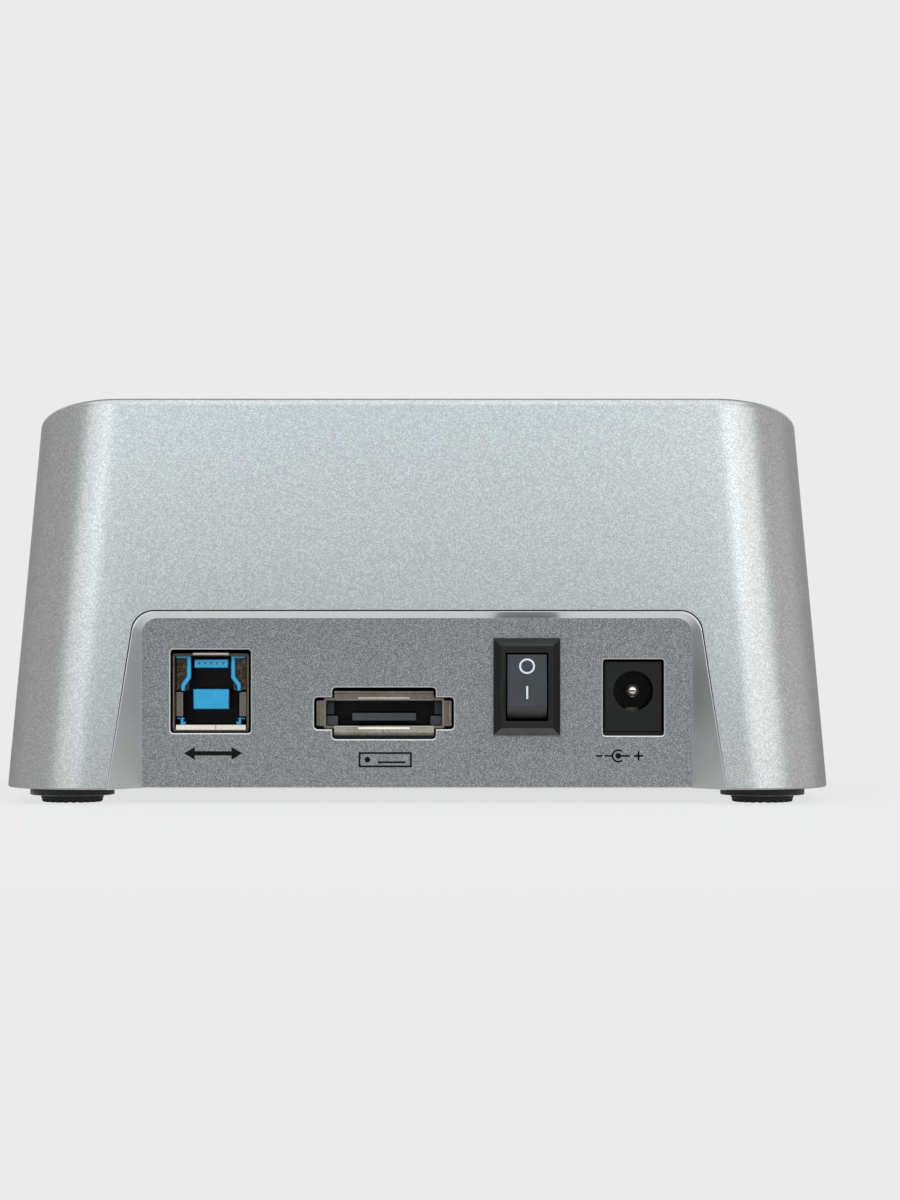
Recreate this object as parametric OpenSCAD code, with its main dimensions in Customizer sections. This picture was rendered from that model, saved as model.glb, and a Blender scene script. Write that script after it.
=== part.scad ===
// Hard drive docking station for one upright drive, 2.5 or 3.5 inch.
// Millimetres. Z is up, the front faces -Y and the sockets face +Y.
// The origin lies on the table under the middle of the case.

/* [Case] */
// Outer width along the bottom edge
case_w = 130.5; // [126:0.5:150]
// Outer depth along the bottom edge
case_d = 88; // [82:0.5:91]
// Height from the bottom edge to the rear top edge
case_h = 62; // [59:0.2:75]
// Wall thickness, measured level
case_wall = 2.2; // [1.8:0.1:2.6]
// Radius of the upright corners
corner_r = 13.6; // [9:0.2:16]
// Inward lean of the side walls, in degrees
side_lean = 4.3; // [1:0.1:5]
// Inward lean of the front and rear walls, in degrees
end_lean = 9.2; // [8:0.1:10]
// Fall of the top towards the front, in degrees
top_fall = 15.5; // [12:0.5:17]
// Rounding of the outer top edge
rim_round = 1.5; // [0.5:0.1:1.6]
// Side of the square ledge that carries the top plate
ledge = 1.6; // [1:0.1:2]
// Radius of a corner post
post_r = 3.8; // [3:0.1:4.2]
// Height of a corner post above the base plate
post_h = 15; // [12:0.5:20]
// Thickness of the webs that join a post to the walls
web_t = 2; // [1.4:0.1:2.6]

/* [Feet and base] */
// Clear height under the case
foot_lift = 2.4; // [2:0.1:4]
// Height of a rubber pad below its boss
pad_show = 1.15; // [0.8:0.05:1.6]
// Diameter of a rubber pad
pad_d = 9.9; // [8:0.1:11]
// Depth of the pad's seat in its boss
pad_seat = 0.6; // [0.4:0.1:1]
// Width of the ring groove in a pad's sole
groove_w = 0.7; // [0.4:0.1:1]
// Depth of that groove
groove_deep = 0.4; // [0.2:0.1:0.6]
// Diameter of a foot boss
boss_d = 13.4; // [12:0.1:15]
// Foot centre to the case's side edge
foot_in_x = 10.35; // [9.8:0.05:11]
// Foot centre to the case's front or rear edge
foot_in_y = 12; // [11:0.1:14]
// Thickness of the base plate
base_t = 2; // [1.6:0.1:2.6]
// Base plate above the case's bottom edge
base_in = 0.4; // [0.2:0.1:1]

/* [Top plate and flap] */
// Thickness of the top plate
plate_t = 2.4; // [2:0.1:3]
// Top plate below the rim
rim_drop = 0.8; // [0.4:0.1:1.5]
// Thickness of the flap
flap_t = 2; // [1.6:0.1:2.4]
// Flap below the top plate's face
flap_sink = 0.15; // [0.1:0.05:0.4]
// Radius of the flap's hinge barrel
barrel_r = 1.9; // [1.7:0.1:2.1]
// Hinge axis below the flap
hinge_drop = 0.2; // [0.1:0.05:0.4]
// Diameter of the hinge pins
pin_d = 2; // [1.6:0.1:2.2]
// Width of a hinge ear
ear_w = 2.6; // [2:0.1:3]
// Depth of a hinge ear below the barrel
ear_drop = 0.5; // [0.3:0.1:0.8]
// Wire diameter of the flap spring
flap_wire = 0.5; // [0.4:0.05:0.6]
// Gap between the flap spring's coil and its pin
coil_gap = 0.3; // [0.2:0.05:0.4]
// Turns of the flap spring
flap_turns = 5; // [3:1:6]
// Flap spring's near end to the bay's end
flap_spring_in = 12; // [10:0.5:22]
// Length along the pin of the flap spring's coil
flap_spring_l = 5.6; // [5:0.1:8]
// Drop of the flap spring's long leg
flap_leg = 2.6; // [2:0.1:4]

/* [Drive bay] */
// Bay's end to the case's side edge
bay_side = 13.25; // [12.5:0.05:15]
// Bay's front plane to the case's front edge, the room for the flap's hinge and the eject parts
front_room = 34.3; // [34:0.1:36]
// Width of the small drive's slot
small_w = 71; // [70.5:0.1:72]
// Depth of the small drive's slot
small_d = 10.4; // [9.8:0.1:11]
// Small slot's near end to the bay's end
small_in = 4.6; // [4:0.1:6]
// Wall and floor of the cradle
cradle_t = 1.6; // [1.2:0.1:2]
// Cradle floor above the board
floor_up = 5.9; // [5.5:0.1:7]
// Rear panel's face to the bay's rear plane
port_room = 21.3; // [21.2:0.1:24]
// Height of the ribs that a drive stands on
seat_rib = 4.2; // [3:0.1:4.6]
// Height of their uprights along the rear wall
upright_h = 18; // [10:0.5:20]
// Thickness of those ribs
seat_rib_t = 2; // [1.4:0.1:2.6]
// Floor slots for the open flap's arms, past the bay's front plane
arm_back = 2; // [1.6:0.1:3]
// Height of the masts that the cradle hangs from
mast_h = 9; // [8:0.1:11]
// Wall of a mast round its screw
mast_wall = 1.5; // [1.2:0.1:1.8]
// Thickness of the cradle's screw ears
cradle_ear = 2.4; // [2:0.1:3]
// Cradle screw to the cradle's front or rear wall
cradle_screw_in = 5.5; // [5:0.1:6]
// Cradle screw to the bay's end
screw_side = 6; // [5:0.1:8]

/* [Eject] */
// Width of the button
button_w = 26; // [18:0.5:34]
// Depth of the button
button_d = 9; // [7:0.2:11]
// Button above the top plate's face
button_up = 2.2; // [1:0.1:3]
// Travel of the button
button_travel = 3.5; // [2.5:0.1:3.8]
// Flange that keeps the button in
flange_w = 1.2; // [0.8:0.1:1.6]
// Least thickness of the flange
flange_t = 2.6; // [2:0.1:3]
// Radius of the button's stem
stem_r = 2.5; // [2:0.1:3]
// Stem axis ahead of the lever's pin
stem_arm = 7.6; // [7:0.1:9]
// Length of the eject spring at rest
eject_spring_l = 8.5; // [7.5:0.1:10]
// Wire diameter of the eject spring
eject_wire = 0.6; // [0.4:0.05:0.8]
// Turns of the eject spring
eject_turns = 5; // [3:1:6]
// Stem's reach below its guide
stem_out = 2.4; // [2.2:0.1:4]
// Wall of the stem's guide
guide_wall = 1.5; // [1.2:0.1:2]
// Width of the lever
lever_w = 8; // [6:0.2:10]
// Thickness of the lever
lever_t = 2.4; // [2:0.1:3]
// Radius of the lever's hub
hub_r = 2.6; // [2.2:0.1:3]
// Thickness of the cheeks that carry the lever's pin
cheek_t = 2; // [1.6:0.1:3]
// Gap between the lever and the stem's end
lever_gap = 0.3; // [0.2:0.05:0.5]
// Lever's reach past the bay's front plane
lever_reach = 4.7; // [3:0.1:6]
// Lever axis above the cradle's floor
lever_up = 2.8; // [2.7:0.1:4]

/* [Rear panel] */
// Flat panel's side to the case's side edge
panel_side = 21.9; // [20:0.1:23]
// Height of the flat panel
panel_h = 26.8; // [25.5:0.1:28]
// Thickness of the panel
panel_t = 2; // [1.6:0.1:2.6]
// Panel's face ahead of the case's rear bottom edge
panel_in = 5.5; // [5.2:0.1:6.5]
// Radius of the flat panel's upper corners
panel_r = 2.5; // [1.5:0.1:4]
// Flare's widening at the sides for each millimetre of its depth
flare_side = 0.9; // [0.85:0.01:1]
// Flat land round the flare
panel_land = 0.1; // [0.1:0.05:0.6]
// Distance between the panel's two lugs
lug_gap = 52; // [40:1:70]
// Length, width and thickness of a lug
lug = [6, 8, 2];
// Radius of the pegs that the lugs sit on
peg_r = 1.4; // [1:0.1:1.8]
// Corner radius of the sockets' cut-outs
cut_r = 0.45; // [0.2:0.05:0.6]

/* [Square data socket] */
// Socket axis to the flat panel's side
usb_side = 10.85; // [9:0.05:12]
// Width of the metal shell
usb_w = 12.04; // [11.8:0.02:12.4]
// Height of the metal shell
usb_h = 12.3; // [12:0.1:12.8]
// Depth of the metal shell
usb_d = 17; // [15:0.5:17]
// Depth of the plug's room
usb_deep = 9; // [8:0.5:10]
// Shell's front edge behind the panel's face
usb_back = 0.4; // [0.2:0.05:0.8]
// Thickness of the folded metal
metal_t = 0.4; // [0.3:0.05:0.5]
// Width of the raised tab on the shell
usb_tab_w = 5.7; // [4:0.1:7]
// Rise of that tab
usb_tab_h = 0.25; // [0.1:0.05:0.4]

/* [Flat data socket] */
// Socket axis to the middle of the case
esata_x = 5.2; // [4:0.1:6]
// Width of the opening
esata_w = 18.3; // [18:0.1:18.8]
// Height of the opening
esata_h = 4; // [3.8:0.1:4.3]
// Depth of the metal tube
esata_d = 11; // [9:0.5:13]
// Depth of the plug's room
esata_deep = 8; // [7:0.5:8.5]
// Opening's underside above the board
esata_up = 0.9; // [0.7:0.05:1.2]
// Lips' front edge behind the panel's face
esata_back = 0.25; // [0.1:0.05:0.5]
// Width of the blade
blade_w = 10.1; // [9.5:0.1:10.5]
// Thickness of the blade
blade_t = 1.2; // [1:0.1:1.4]
// How far the blade lies below the middle of the opening
blade_drop = 0.6; // [0.4:0.05:0.7]
// Width of the upper and lower lips
lip_w = 15.7; // [14:0.1:16.5]
// Outward reach of the lips
lip_out = 1.15; // [0.8:0.05:1.3]

/* [Power inlet] */
// Inlet axis to the flat panel's side
jack_side = 9.25; // [7:0.05:10]
// Width of the inlet
jack_w = 9; // [8.6:0.1:9.6]
// Height of the inlet
jack_h = 11; // [10.6:0.1:12]
// Depth of the inlet
jack_d = 14; // [13:0.5:15]
// Inlet's axis above the board
jack_axis = 6.4; // [6.2:0.1:6.8]
// Diameter of the inlet's bore
jack_bore = 6.3; // [5.8:0.1:6.6]
// Depth of the inlet's bore
jack_deep = 9.5; // [8:0.5:10]
// Diameter of the centre pin
jack_pin = 2.1; // [1.6:0.1:2.5]
// Centre pin's tip behind the inlet's face
jack_pin_in = 1.6; // [1:0.1:2.5]
// Inlet's face behind the panel's face
jack_back = 0.9; // [0.5:0.1:1.2]
// Depth below the bore of the groove for the spring contact
leaf_deep = 0.8; // [0.6:0.05:1]
// Width of the spring contact
leaf_w = 2; // [1.6:0.1:2.4]
// Thickness of the spring contact
leaf_t = 0.3; // [0.2:0.05:0.4]

/* [Rocker switch] */
// Switch axis to the middle of the case
switch_x = -17.3; // [-18.5:0.1:-16.5]
// Switch axis above the board
switch_up = 7.1; // [7:0.1:8]
// Width of the bezel
bezel_w = 10.5; // [10:0.1:11.5]
// Height of the bezel
bezel_h = 15.3; // [15:0.1:16]
// Bezel's stand above the panel
bezel_t = 1.9; // [1.5:0.1:2.4]
// Slope of the bezel's edge, across
bezel_slope = 1.2; // [0.8:0.1:1.3]
// Upright part of the bezel's edge
bezel_edge = 0.6; // [0.3:0.1:1]
// Width of the body behind the panel
switch_w = 8.4; // [8.2:0.1:8.8]
// Height of the body behind the panel
switch_h = 13.2; // [12.8:0.1:13.6]
// Depth of the body behind the panel's face
switch_d = 9.5; // [9:0.1:11]
// Floor of the body
switch_floor = 1.2; // [1:0.1:1.6]
// Width of the rocker
rocker_w = 6.2; // [5.8:0.1:6.4]
// Half length of the rocker's flat face
rocker_face = 4.2; // [3.8:0.1:4.4]
// Rocker's flat face to its axis
rocker_up = 4.6; // [4.2:0.1:5]
// Radius of the rocker's ends
rocker_r = 5.27; // [5:0.05:5.4]
// Tilt either side of level, in degrees
rocker_tilt = 13; // [9:0.5:13]
// Radius of the rocker's stub axles
axle_r = 0.9; // [0.7:0.1:1.1]
// Length of a stub axle
axle_l = 0.6; // [0.4:0.1:0.7]
// Gap at the rocker's ends
rocker_end_gap = 0.11; // [0.08:0.01:0.2]
// Gap at the rocker's sides
rocker_gap = 0.25; // [0.2:0.05:0.4]
// Rocker's pressed end behind the bezel's face
rocker_sink = 0.3; // [0.1:0.05:0.5]
// Lower terminal below the switch's axis
terminal_drop = 2.4; // [2:0.1:3]
// Distance between the terminals
terminal_pitch = 6; // [5:0.1:6.5]
// Length of a terminal
tab_l = 4.2; // [3.5:0.1:4.5]
// Width of a terminal
tab_w = 3; // [2.4:0.1:4]
// Thickness of a terminal
tab_t = 0.6; // [0.4:0.1:0.8]
// Diameter of the switch wires
wire_d = 1.3; // [1:0.1:1.6]

/* [Board] */
// Board's rear edge to the panel
board_gap = 0.3; // [0.2:0.05:0.6]
// Height of the board's upper face above the case's bottom edge
board_up = 8.9; // [8.5:0.1:9.5]
// Thickness of the board
board_t = 1.6; // [1:0.1:2]
// Board's side edge to the corner posts
board_side = 1.6; // [1:0.1:2.5]
// Board's front edge to the case's front edge
board_fore = 14.2; // [13:0.1:16]
// Board screw to the board's side edge
board_hole_x = 5.5; // [5:0.1:7]
// Board screw to the board's front or rear edge
board_hole_y = 5; // [4.5:0.1:6]
// Radius of a board post
standoff_r = 3; // [2.6:0.1:3.4]
// Length of the drive socket
socket_l = 43.4; // [42.8:0.1:44]
// Thickness of the drive socket
socket_t = 6; // [5.6:0.1:6.4]
// Height of the drive socket
socket_h = 9.4; // [9:0.1:10]
// Drive socket's middle to the bay's near end
socket_off = 31.3; // [30.5:0.1:32]
// Drive socket's axis to the bay's rear wall
socket_in = 4.1; // [3.8:0.1:4.6]
// Depth of the slots that take a drive's blades
blade_deep = 6.4; // [6:0.1:7]
// Width of those slots
blade_gap = 1.9; // [1.6:0.1:2.2]
// Distance between contacts of the drive socket and the flat data socket
contact_pitch = 1.27; // [1.2:0.01:1.3]
// Width of those contacts
contact_w = 0.6; // [0.4:0.05:0.7]
// First slot to the drive socket's end
slot_in = 4.4; // [4:0.1:5]
// Slot's end to its first contact
slot_end = 1.1; // [0.8:0.1:1.3]
// Width of a slot's key
slot_key = 1.3; // [1:0.1:1.6]
// Wall between the two slots
slot_apart = 2.4; // [2:0.1:2.8]
// Diameter of a light pipe
light_d = 2.5; // [2:0.1:3]
// Outer light to the board's side
light_side = 12.5; // [11.5:0.5:14]
// Distance between the lights
light_gap = 7; // [5:0.5:8]
// Height of a status light
led_h = 1.9; // [1.2:0.1:2.4]

/* [Chips] */
// Side of the bridge chip
bridge_w = 10; // [8:0.5:12]
// Bridge chip to the middle of the case
bridge_x = 14; // [13:0.5:18]
// Bridge chip ahead of the board's middle
bridge_fore = 5.2; // [5:0.1:6]
// Height of the flat chips
chip_h = 1.5; // [1:0.1:1.8]
// Width of the small flat chips
chip_w = 4; // [3.6:0.1:5]
// Depth of the small flat chips
chip_d = 5; // [4.6:0.1:6]
// Flash chip to the bridge chip
flash_x = 16; // [14:0.5:18]
// Width of the crystal's can
crystal_w = 4.6; // [4:0.1:5]
// Depth of the crystal's can
crystal_d = 10.8; // [9:0.1:11]
// Height of the crystal's can
crystal_h = 3.4; // [2.8:0.1:3.6]
// Bridge chip to the crystal
crystal_x = 18; // [17:0.5:20]
// Diameter of a capacitor
can_d = 6.3; // [5:0.1:6.5]
// Height of a capacitor
can_h = 7.7; // [6:0.1:8.5]
// Side of a capacitor's foot
can_foot = 6.6; // [6.4:0.1:7]
// Height of that foot
can_foot_h = 0.9; // [0.6:0.1:1.2]
// First capacitor to the board's side
can_x = 13.5; // [12.5:0.1:15]
// Distance between capacitors
can_gap = 9; // [7.5:0.1:9.5]
// Capacitors to the board's front edge
can_fore = 6.9; // [6:0.1:7.5]
// Side of an inductor
coil_w = 6; // [5:0.1:6.5]
// Height of an inductor
coil_h = 3; // [2:0.1:3.4]
// Inductors to the board's side
coil_x = 17.5; // [16:0.1:19]
// Regulators to the inductors
regulator_x = 10; // [8:0.1:11]
// First inductor ahead of the board's middle
coil_fore = 11.2; // [10.5:0.1:12]
// Distance between the two inductors, and between their regulators
coil_gap_y = 8; // [7:0.1:9]
// Length of a chip part
bit_l = 1.6; // [1:0.1:2]
// Depth of a chip part
bit_d = 0.8; // [0.5:0.1:1]
// Height of a chip part
bit_h = 0.5; // [0.3:0.1:0.7]
// Distance between chip parts
bit_gap = 4; // [3.5:0.1:4.2]
// Last chip part to the board's side
bit_side = 6.5; // [6:0.1:7]
// Rows of chip parts ahead of and behind the bridge chip
bit_row = 9; // [8.5:0.1:9.5]
// Width of the wire header
header_w = 6; // [5:0.1:7]
// Depth and height of the wire header
header_h = 5; // [4:0.1:6]
// Wire header to the switch's axis
header_x = 8.3; // [7.8:0.1:9]
// Wire header's front to the board's rear edge
header_in = 11.2; // [10.8:0.1:11.5]
// Distance between the wires at the header
header_pitch = 2; // [1.8:0.1:2.5]
// Wires above the board at the header
header_up = 3.3; // [3:0.1:3.5]
// Length of a status light
led_l = 3.2; // [2.4:0.1:3.6]
// Depth of a status light
led_d = 2.8; // [2.4:0.1:3.2]

/* [Fasteners and clearances] */
// Shank radius of the screws
screw_r = 1.2; // [1:0.05:1.3]
// Head radius of the screws
head_r = 2.7; // [2.4:0.1:2.9]
// Head height of the screws
head_h = 1.5; // [1.2:0.1:1.7]
// Length of the case screws
case_screw_l = 11; // [9:0.5:12]
// Reach of the board screws past the board
board_screw_l = 4; // [3:0.1:4.5]
// Reach of the cradle screws past their ears
cradle_screw_l = 6; // [4:0.1:7]
// Radial clearance of pins and screws in their holes
run_gap = 0.05; // [0.02:0.01:0.08]
// Radial clearance of screws in the holes they pass through
screw_gap = 0.3; // [0.2:0.05:0.5]
// Gap between pieces that are set into one another
seat_gap = 0.15; // [0.1:0.05:0.3]
// Gap round sockets in the panel
port_gap = 0.32; // [0.2:0.02:0.5]
// Gap round moving pieces
move_gap = 0.35; // [0.25:0.05:0.5]

/* [Hidden] */
$fn = 48;
far = 200;
past = 1;
fuse = 0.5;
touch = 0.1;
skin = 0.01;
arc_steps = 8;
turn_steps = 8;
lean_x = tan(side_lean);
lean_y = tan(end_lean);
fall = tan(top_fall);

// Heights and main planes
case_z = foot_lift;
rear_top_z = case_z + case_h;
rear_top_y = case_d / 2 - case_h * lean_y;
plate_top_n = -rim_drop;
plate_low_n = -rim_drop - plate_t;
base_z = case_z + base_in;
base_top = base_z + base_t;
board_top = case_z + board_up;
board_low = board_top - board_t;
panel_y = case_d / 2 - panel_in;
panel_back = panel_y - panel_t;
panel_w = case_w - 2 * panel_side;
foot_x = case_w / 2 - foot_in_x;
foot_y = case_d / 2 - foot_in_y;
head_seat = pad_show + pad_seat + head_h + touch;

// Rear panel outline where the flare runs out into the sloping wall
flare_top = (panel_in - panel_h * lean_y) / (1 + lean_y);
flare_reach = panel_in + 3;
insert_low = panel_w / 2 + flare_side * panel_in + panel_land;
insert_high = panel_w / 2 + flare_side * flare_top + panel_land;
insert_top = case_z + panel_h + flare_top + panel_land;
insert_r = panel_r + flare_top;
lug_y = panel_back - lug.x / 2;

// Drive bay, flap hinge and cradle
bay_rear = panel_y - port_room;
bay_front = front_room - case_d / 2;
bay_w = case_w - 2 * bay_side;
flap_rise = flap_t + hinge_drop;
hinge_n = plate_top_n - flap_sink - flap_rise;
hinge_y = bay_front - flap_rise - move_gap;
hinge_s = (hinge_y - rear_top_y + hinge_n * sin(top_fall)) / cos(top_fall);
hinge_z = rear_top_z + hinge_s * sin(top_fall) + hinge_n * cos(top_fall);
slot_front_s = -barrel_r - move_gap;
slot_rear_s = (bay_rear - hinge_y + flap_rise * sin(top_fall)) / cos(top_fall);
flap_half = bay_w / 2 - move_gap;
small_x0 = -bay_w / 2 + small_in;
small_x1 = small_x0 + small_w;
small_s = slot_rear_s - small_d;
cradle_front = hinge_y - barrel_r - move_gap - touch;
cradle_out = cradle_front - cradle_t;
flap_tip = norm([slot_rear_s - move_gap, flap_rise]);
cradle_rear = hinge_y + flap_tip + move_gap;
cradle_back = cradle_rear + cradle_t;
floor_top = board_top + floor_up;
pin_r = pin_d / 2;
coil_r = pin_r + flap_wire / 2 + coil_gap;
flap_spring_x = bay_w / 2 - flap_spring_in;

// Eject parts
plate_front = case_wall - half_d(rear_top_z - fall * (rear_top_y + case_d / 2));
button_y = (plate_front + hinge_y + slot_front_s) / 2;
lever_y = cradle_out - hub_r - move_gap;
lever_z = floor_top + lever_up;
stem_y = lever_y - stem_arm;
stem_low = lever_z + lever_t / 2 + lever_gap;
flange_front = button_y - button_d / 2 - flange_w;
button_low = top_z(flange_front, plate_low_n) - seat_gap - flange_t;
guide_top = button_low - eject_spring_l;
guide_low = stem_low + stem_out;
guide_r = stem_r + guide_wall;
lever_tip = bay_front + lever_reach;
lever_turn = button_travel / stem_arm * 180 / PI;
window_top = lever_z + (cradle_front - lever_y) * tan(lever_turn)
  + lever_t / 2 / cos(lever_turn) + move_gap;
cheek_x = lever_w / 2 + move_gap;
eject_coil_r = stem_r + move_gap + eject_wire / 2;

// Screws that join the cradle to the top plate
cradle_screw_x = bay_w / 2 - screw_side;
mast_r = screw_r + mast_wall;

// Drive socket and its two keyed slots
socket_x = socket_off - bay_w / 2;
socket_y = bay_rear - socket_in;
signal_count = 7;
supply_count = 15;
signal_l = contact_pitch * (signal_count - 1) + 2 * slot_end + contact_w;
supply_l = contact_pitch * (supply_count - 1) + 2 * slot_end + contact_w;
signal_x = -socket_l / 2 + slot_in;
supply_x = signal_x + signal_l + slot_apart;

// Sockets, inlet and switch
port_front = panel_y - usb_back;
usb_x = panel_w / 2 - usb_side;
usb_z = board_top;
esata_z = board_top + esata_up + esata_h / 2;
esata_front = panel_y - esata_back;
jack_x = jack_side - panel_w / 2;
jack_front = panel_y - jack_back;
jack_z = board_top + jack_axis;
leaf_z = jack_z - jack_bore / 2 - leaf_deep;
switch_z = board_top + switch_up;
switch_back = panel_y - switch_d;
bezel_front = panel_y + bezel_t;
rocker_half = rocker_r + rocker_end_gap;
rocker_y = bezel_front - rocker_sink - rocker_up * cos(rocker_tilt) + rocker_face * sin(rocker_tilt);
terminal_z = [switch_z - terminal_drop, switch_z - terminal_drop + terminal_pitch];

// Board and its wire header
board_back = panel_back - board_gap;
board_w = 2 * (foot_x - post_r - board_side);
board_d = board_back + case_d / 2 - board_fore;
board_mid = board_back - board_d / 2;
header_y = board_back - header_in;
wire_bow = 1.6 * wire_d;
wire_steps = 10;

// Half width and half depth of the case at a height
function half_w(z) = case_w / 2 - (z - case_z) * lean_x;
function half_d(z) = case_d / 2 - (z - case_z) * lean_y;

// Height of the sloping top at a depth, n measured square to it
function top_z(y, n = 0) = rear_top_z - (rear_top_y - y) * fall + n / cos(top_fall);

// One point of the case's outline, in quarter q at angle a
function quarter_x(q) = (q == 0 || q == 3) ? 1 : -1;
function quarter_y(q) = (q == 0 || q == 1) ? 1 : -1;
function outline_point(q, a, inset, z) =
  let (r = corner_r - inset)
  [quarter_x(q) * (half_w(z) - inset - r) + r * cos(a),
   quarter_y(q) * (half_d(z) - inset - r) + r * sin(a), z];

// Height at which the wall through that point meets the top, n square to it
function meet_z(q, a, inset, n) =
  let (r = corner_r - inset, sy = quarter_y(q))
  let (foot = sy * (case_d / 2 + case_z * lean_y - inset - r) + r * sin(a))
  (rear_top_z - fall * rear_top_y + n / cos(top_fall) + fall * foot) / (1 + fall * sy * lean_y);

function level_ring(inset, z) =
  [for (q = [0:3], k = [0:arc_steps]) outline_point(q, (q + k / arc_steps) * 90, inset, z)];

function top_ring(inset, n) =
  [for (q = [0:3], k = [0:arc_steps])
    let (a = (q + k / arc_steps) * 90)
    outline_point(q, a, inset, meet_z(q, a, inset, n))];

// Rings of a quarter round along the top edge
rim_steps = 4;
function rim_rings(r) =
  [for (k = [0:rim_steps])
    let (a = 90 * k / rim_steps)
    top_ring(r * (1 - cos(a)), -r * (1 - sin(a)))];

// Closed solid through rings of equal length, lowest first
module loft(rings) {
  n = len(rings[0]);
  last = len(rings) - 1;
  sides = [for (i = [0:last - 1], j = [0:n - 1], t = [0, 1])
    let (a = i * n + j, b = i * n + (j + 1) % n)
    t == 0 ? [a, a + n, b + n] : [a, b + n, b]];
  low = [for (j = [0:n - 1]) j];
  high = [for (j = [n - 1:-1:0]) last * n + j];
  polyhedron([for (ring = rings, p = ring) p], concat([low, high], sides));
}

// Rounded rectangle, centred
round_steps = 6;
module rounded(w, d, r) {
  polygon([for (q = [0:3], k = [0:round_steps])
    let (a = (q + k / round_steps) * 90)
    [quarter_x(q) * (w / 2 - r) + r * cos(a), quarter_y(q) * (d / 2 - r) + r * sin(a)]]);
}

// Outline with leaning sides and round upper corners
function arch(low_half, high_half, low, high, r) =
  let (lean = atan((low_half - high_half) / (high - low)))
  let (cx = high_half + r * tan(lean) - r / cos(lean))
  let (arc = [for (k = [0:round_steps])
    let (a = lean + k * (90 - lean) / round_steps)
    [cx + r * cos(a), high - r + r * sin(a)]])
  let (back = [for (k = [round_steps:-1:0]) [-arc[k].x, arc[k].y]])
  concat([[low_half, low]], arc, back, [[-low_half, low]]);

// Extrudes an X-Z outline along Y
module along_y(from, to) {
  translate([0, to, 0]) rotate([90, 0, 0]) linear_extrude(to - from) children();
}

// Extrudes a Y-Z outline along X, centred
module along_x(length) {
  rotate([90, 0, 90]) translate([0, 0, -length / 2]) linear_extrude(length) children();
}

// Round bar along X, centred
module bar_x(length, r) {
  rotate([0, 90, 0]) cylinder(h = length, r = r, center = true);
}

// Box given by its two corners
module box(low, high) {
  translate(low) cube(high - low);
}

// Block that stands on z = 0 and is centred over the origin
module block(size) {
  translate([-size.x / 2, -size.y / 2, 0]) cube(size);
}

// Tube swept along a list of points with the given number of sides
module sweep(path, r, sides) {
  n = len(path) - 1;
  dirs = [for (i = [0:n]) unit(path[min(i + 1, n)] - path[max(i - 1, 0)])];
  ups = carried([first_up(dirs[0])], dirs, 1);
  rings = [for (i = [0:n])
    [for (j = [0:sides - 1])
      let (a = 360 * j / sides)
      path[i] + r * (cos(a) * ups[i] + sin(a) * cross(dirs[i], ups[i]))]];
  loft(rings);
}
function unit(v) = v / norm(v);
function first_up(d) = unit(cross(d, abs(d.z) > 0.8 ? [1, 0, 0] : [0, 0, 1]));
function carried(ups, dirs, i) =
  i == len(dirs) ? ups :
  carried(concat(ups, [unit(ups[i - 1] - (ups[i - 1] * dirs[i]) * dirs[i])]), dirs, i + 1);

// Least gap of a wound wire to itself, over points half a turn or more apart
function wound_gap(path, d) =
  min([for (i = [0:len(path) - 1], j = [i + turn_steps / 2:1:len(path) - 1])
    norm(path[i] - path[j])]) - d;

// Frame of the sloping top, with its origin on the rear top edge
module on_top() {
  translate([0, rear_top_y, rear_top_z]) rotate([top_fall, 0, 0]) children();
}

// Everything below the height n in that frame
module below_top(n) {
  on_top() translate([-far, -far, n - 2 * far]) cube(2 * far);
}

// Frame of the flap's hinge: X along the pin, Y up the slope
module on_hinge() {
  translate([0, hinge_y, hinge_z]) rotate([top_fall, 0, 0]) children();
}

module at_corners(x, y) {
  for (sx = [-1, 1], sy = [-1, 1]) translate([sx * x, sy * y, 0]) children();
}

// Case

module case_outside() {
  loft(concat([level_ring(0, case_z)], rim_rings(rim_round)));
}

// Room that posts and webs may fill, half a wall into the shell
module case_room() {
  loft([level_ring(case_wall / 2, base_top - past), top_ring(case_wall / 2, 0)]);
}

module insert_outline(grow, low) {
  polygon(arch(insert_low + grow, insert_high + grow, low, insert_top + grow, insert_r + grow));
}

module outer_shell() {
  ledge_low = plate_low_n - ledge;
  ledge_in = case_wall + ledge;
  post_hole = head_seat + case_screw_l + 1.4;
  color("silver")
  difference() {
    union() {
      difference() {
        case_outside();
        loft([level_ring(case_wall, case_z - past), top_ring(case_wall, past)]);
      }
      difference() {
        loft([top_ring(case_wall / 2, ledge_low), top_ring(case_wall / 2, plate_low_n)]);
        loft([top_ring(ledge_in, ledge_low - past), top_ring(ledge_in, plate_low_n + past)]);
      }
      intersection() {
        at_corners(foot_x, foot_y) translate([0, 0, base_top]) cylinder(h = post_h, r = post_r);
        case_room();
      }
      intersection() {
        for (sx = [-1, 1], sy = [-1, 1])
          translate([sx * foot_x, sy * foot_y, base_top]) {
            translate([sx > 0 ? 0 : -far, -web_t / 2, 0]) cube([far, web_t, post_h]);
            translate([-web_t / 2, sy > 0 ? 0 : -far, 0]) cube([web_t, far, post_h]);
          }
        case_room();
      }
    }
    at_corners(foot_x, foot_y)
      translate([0, 0, base_top - past])
        cylinder(h = post_hole - base_top + past, r = screw_r + run_gap);
    along_y(panel_back - 3 * past, far) insert_outline(seat_gap, case_z - past);
  }
}

// Face that the flare widens by, run on below the case
module flare_face(grow) {
  half = panel_w / 2 + flare_side * grow;
  low = case_z - 2 * flare_reach - grow;
  polygon(arch(half, half, low, case_z + panel_h + grow, panel_r + grow));
}

module at_lugs() {
  for (s = [-1, 1]) translate([s * lug_gap / 2, lug_y, base_top]) children();
}

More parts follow.
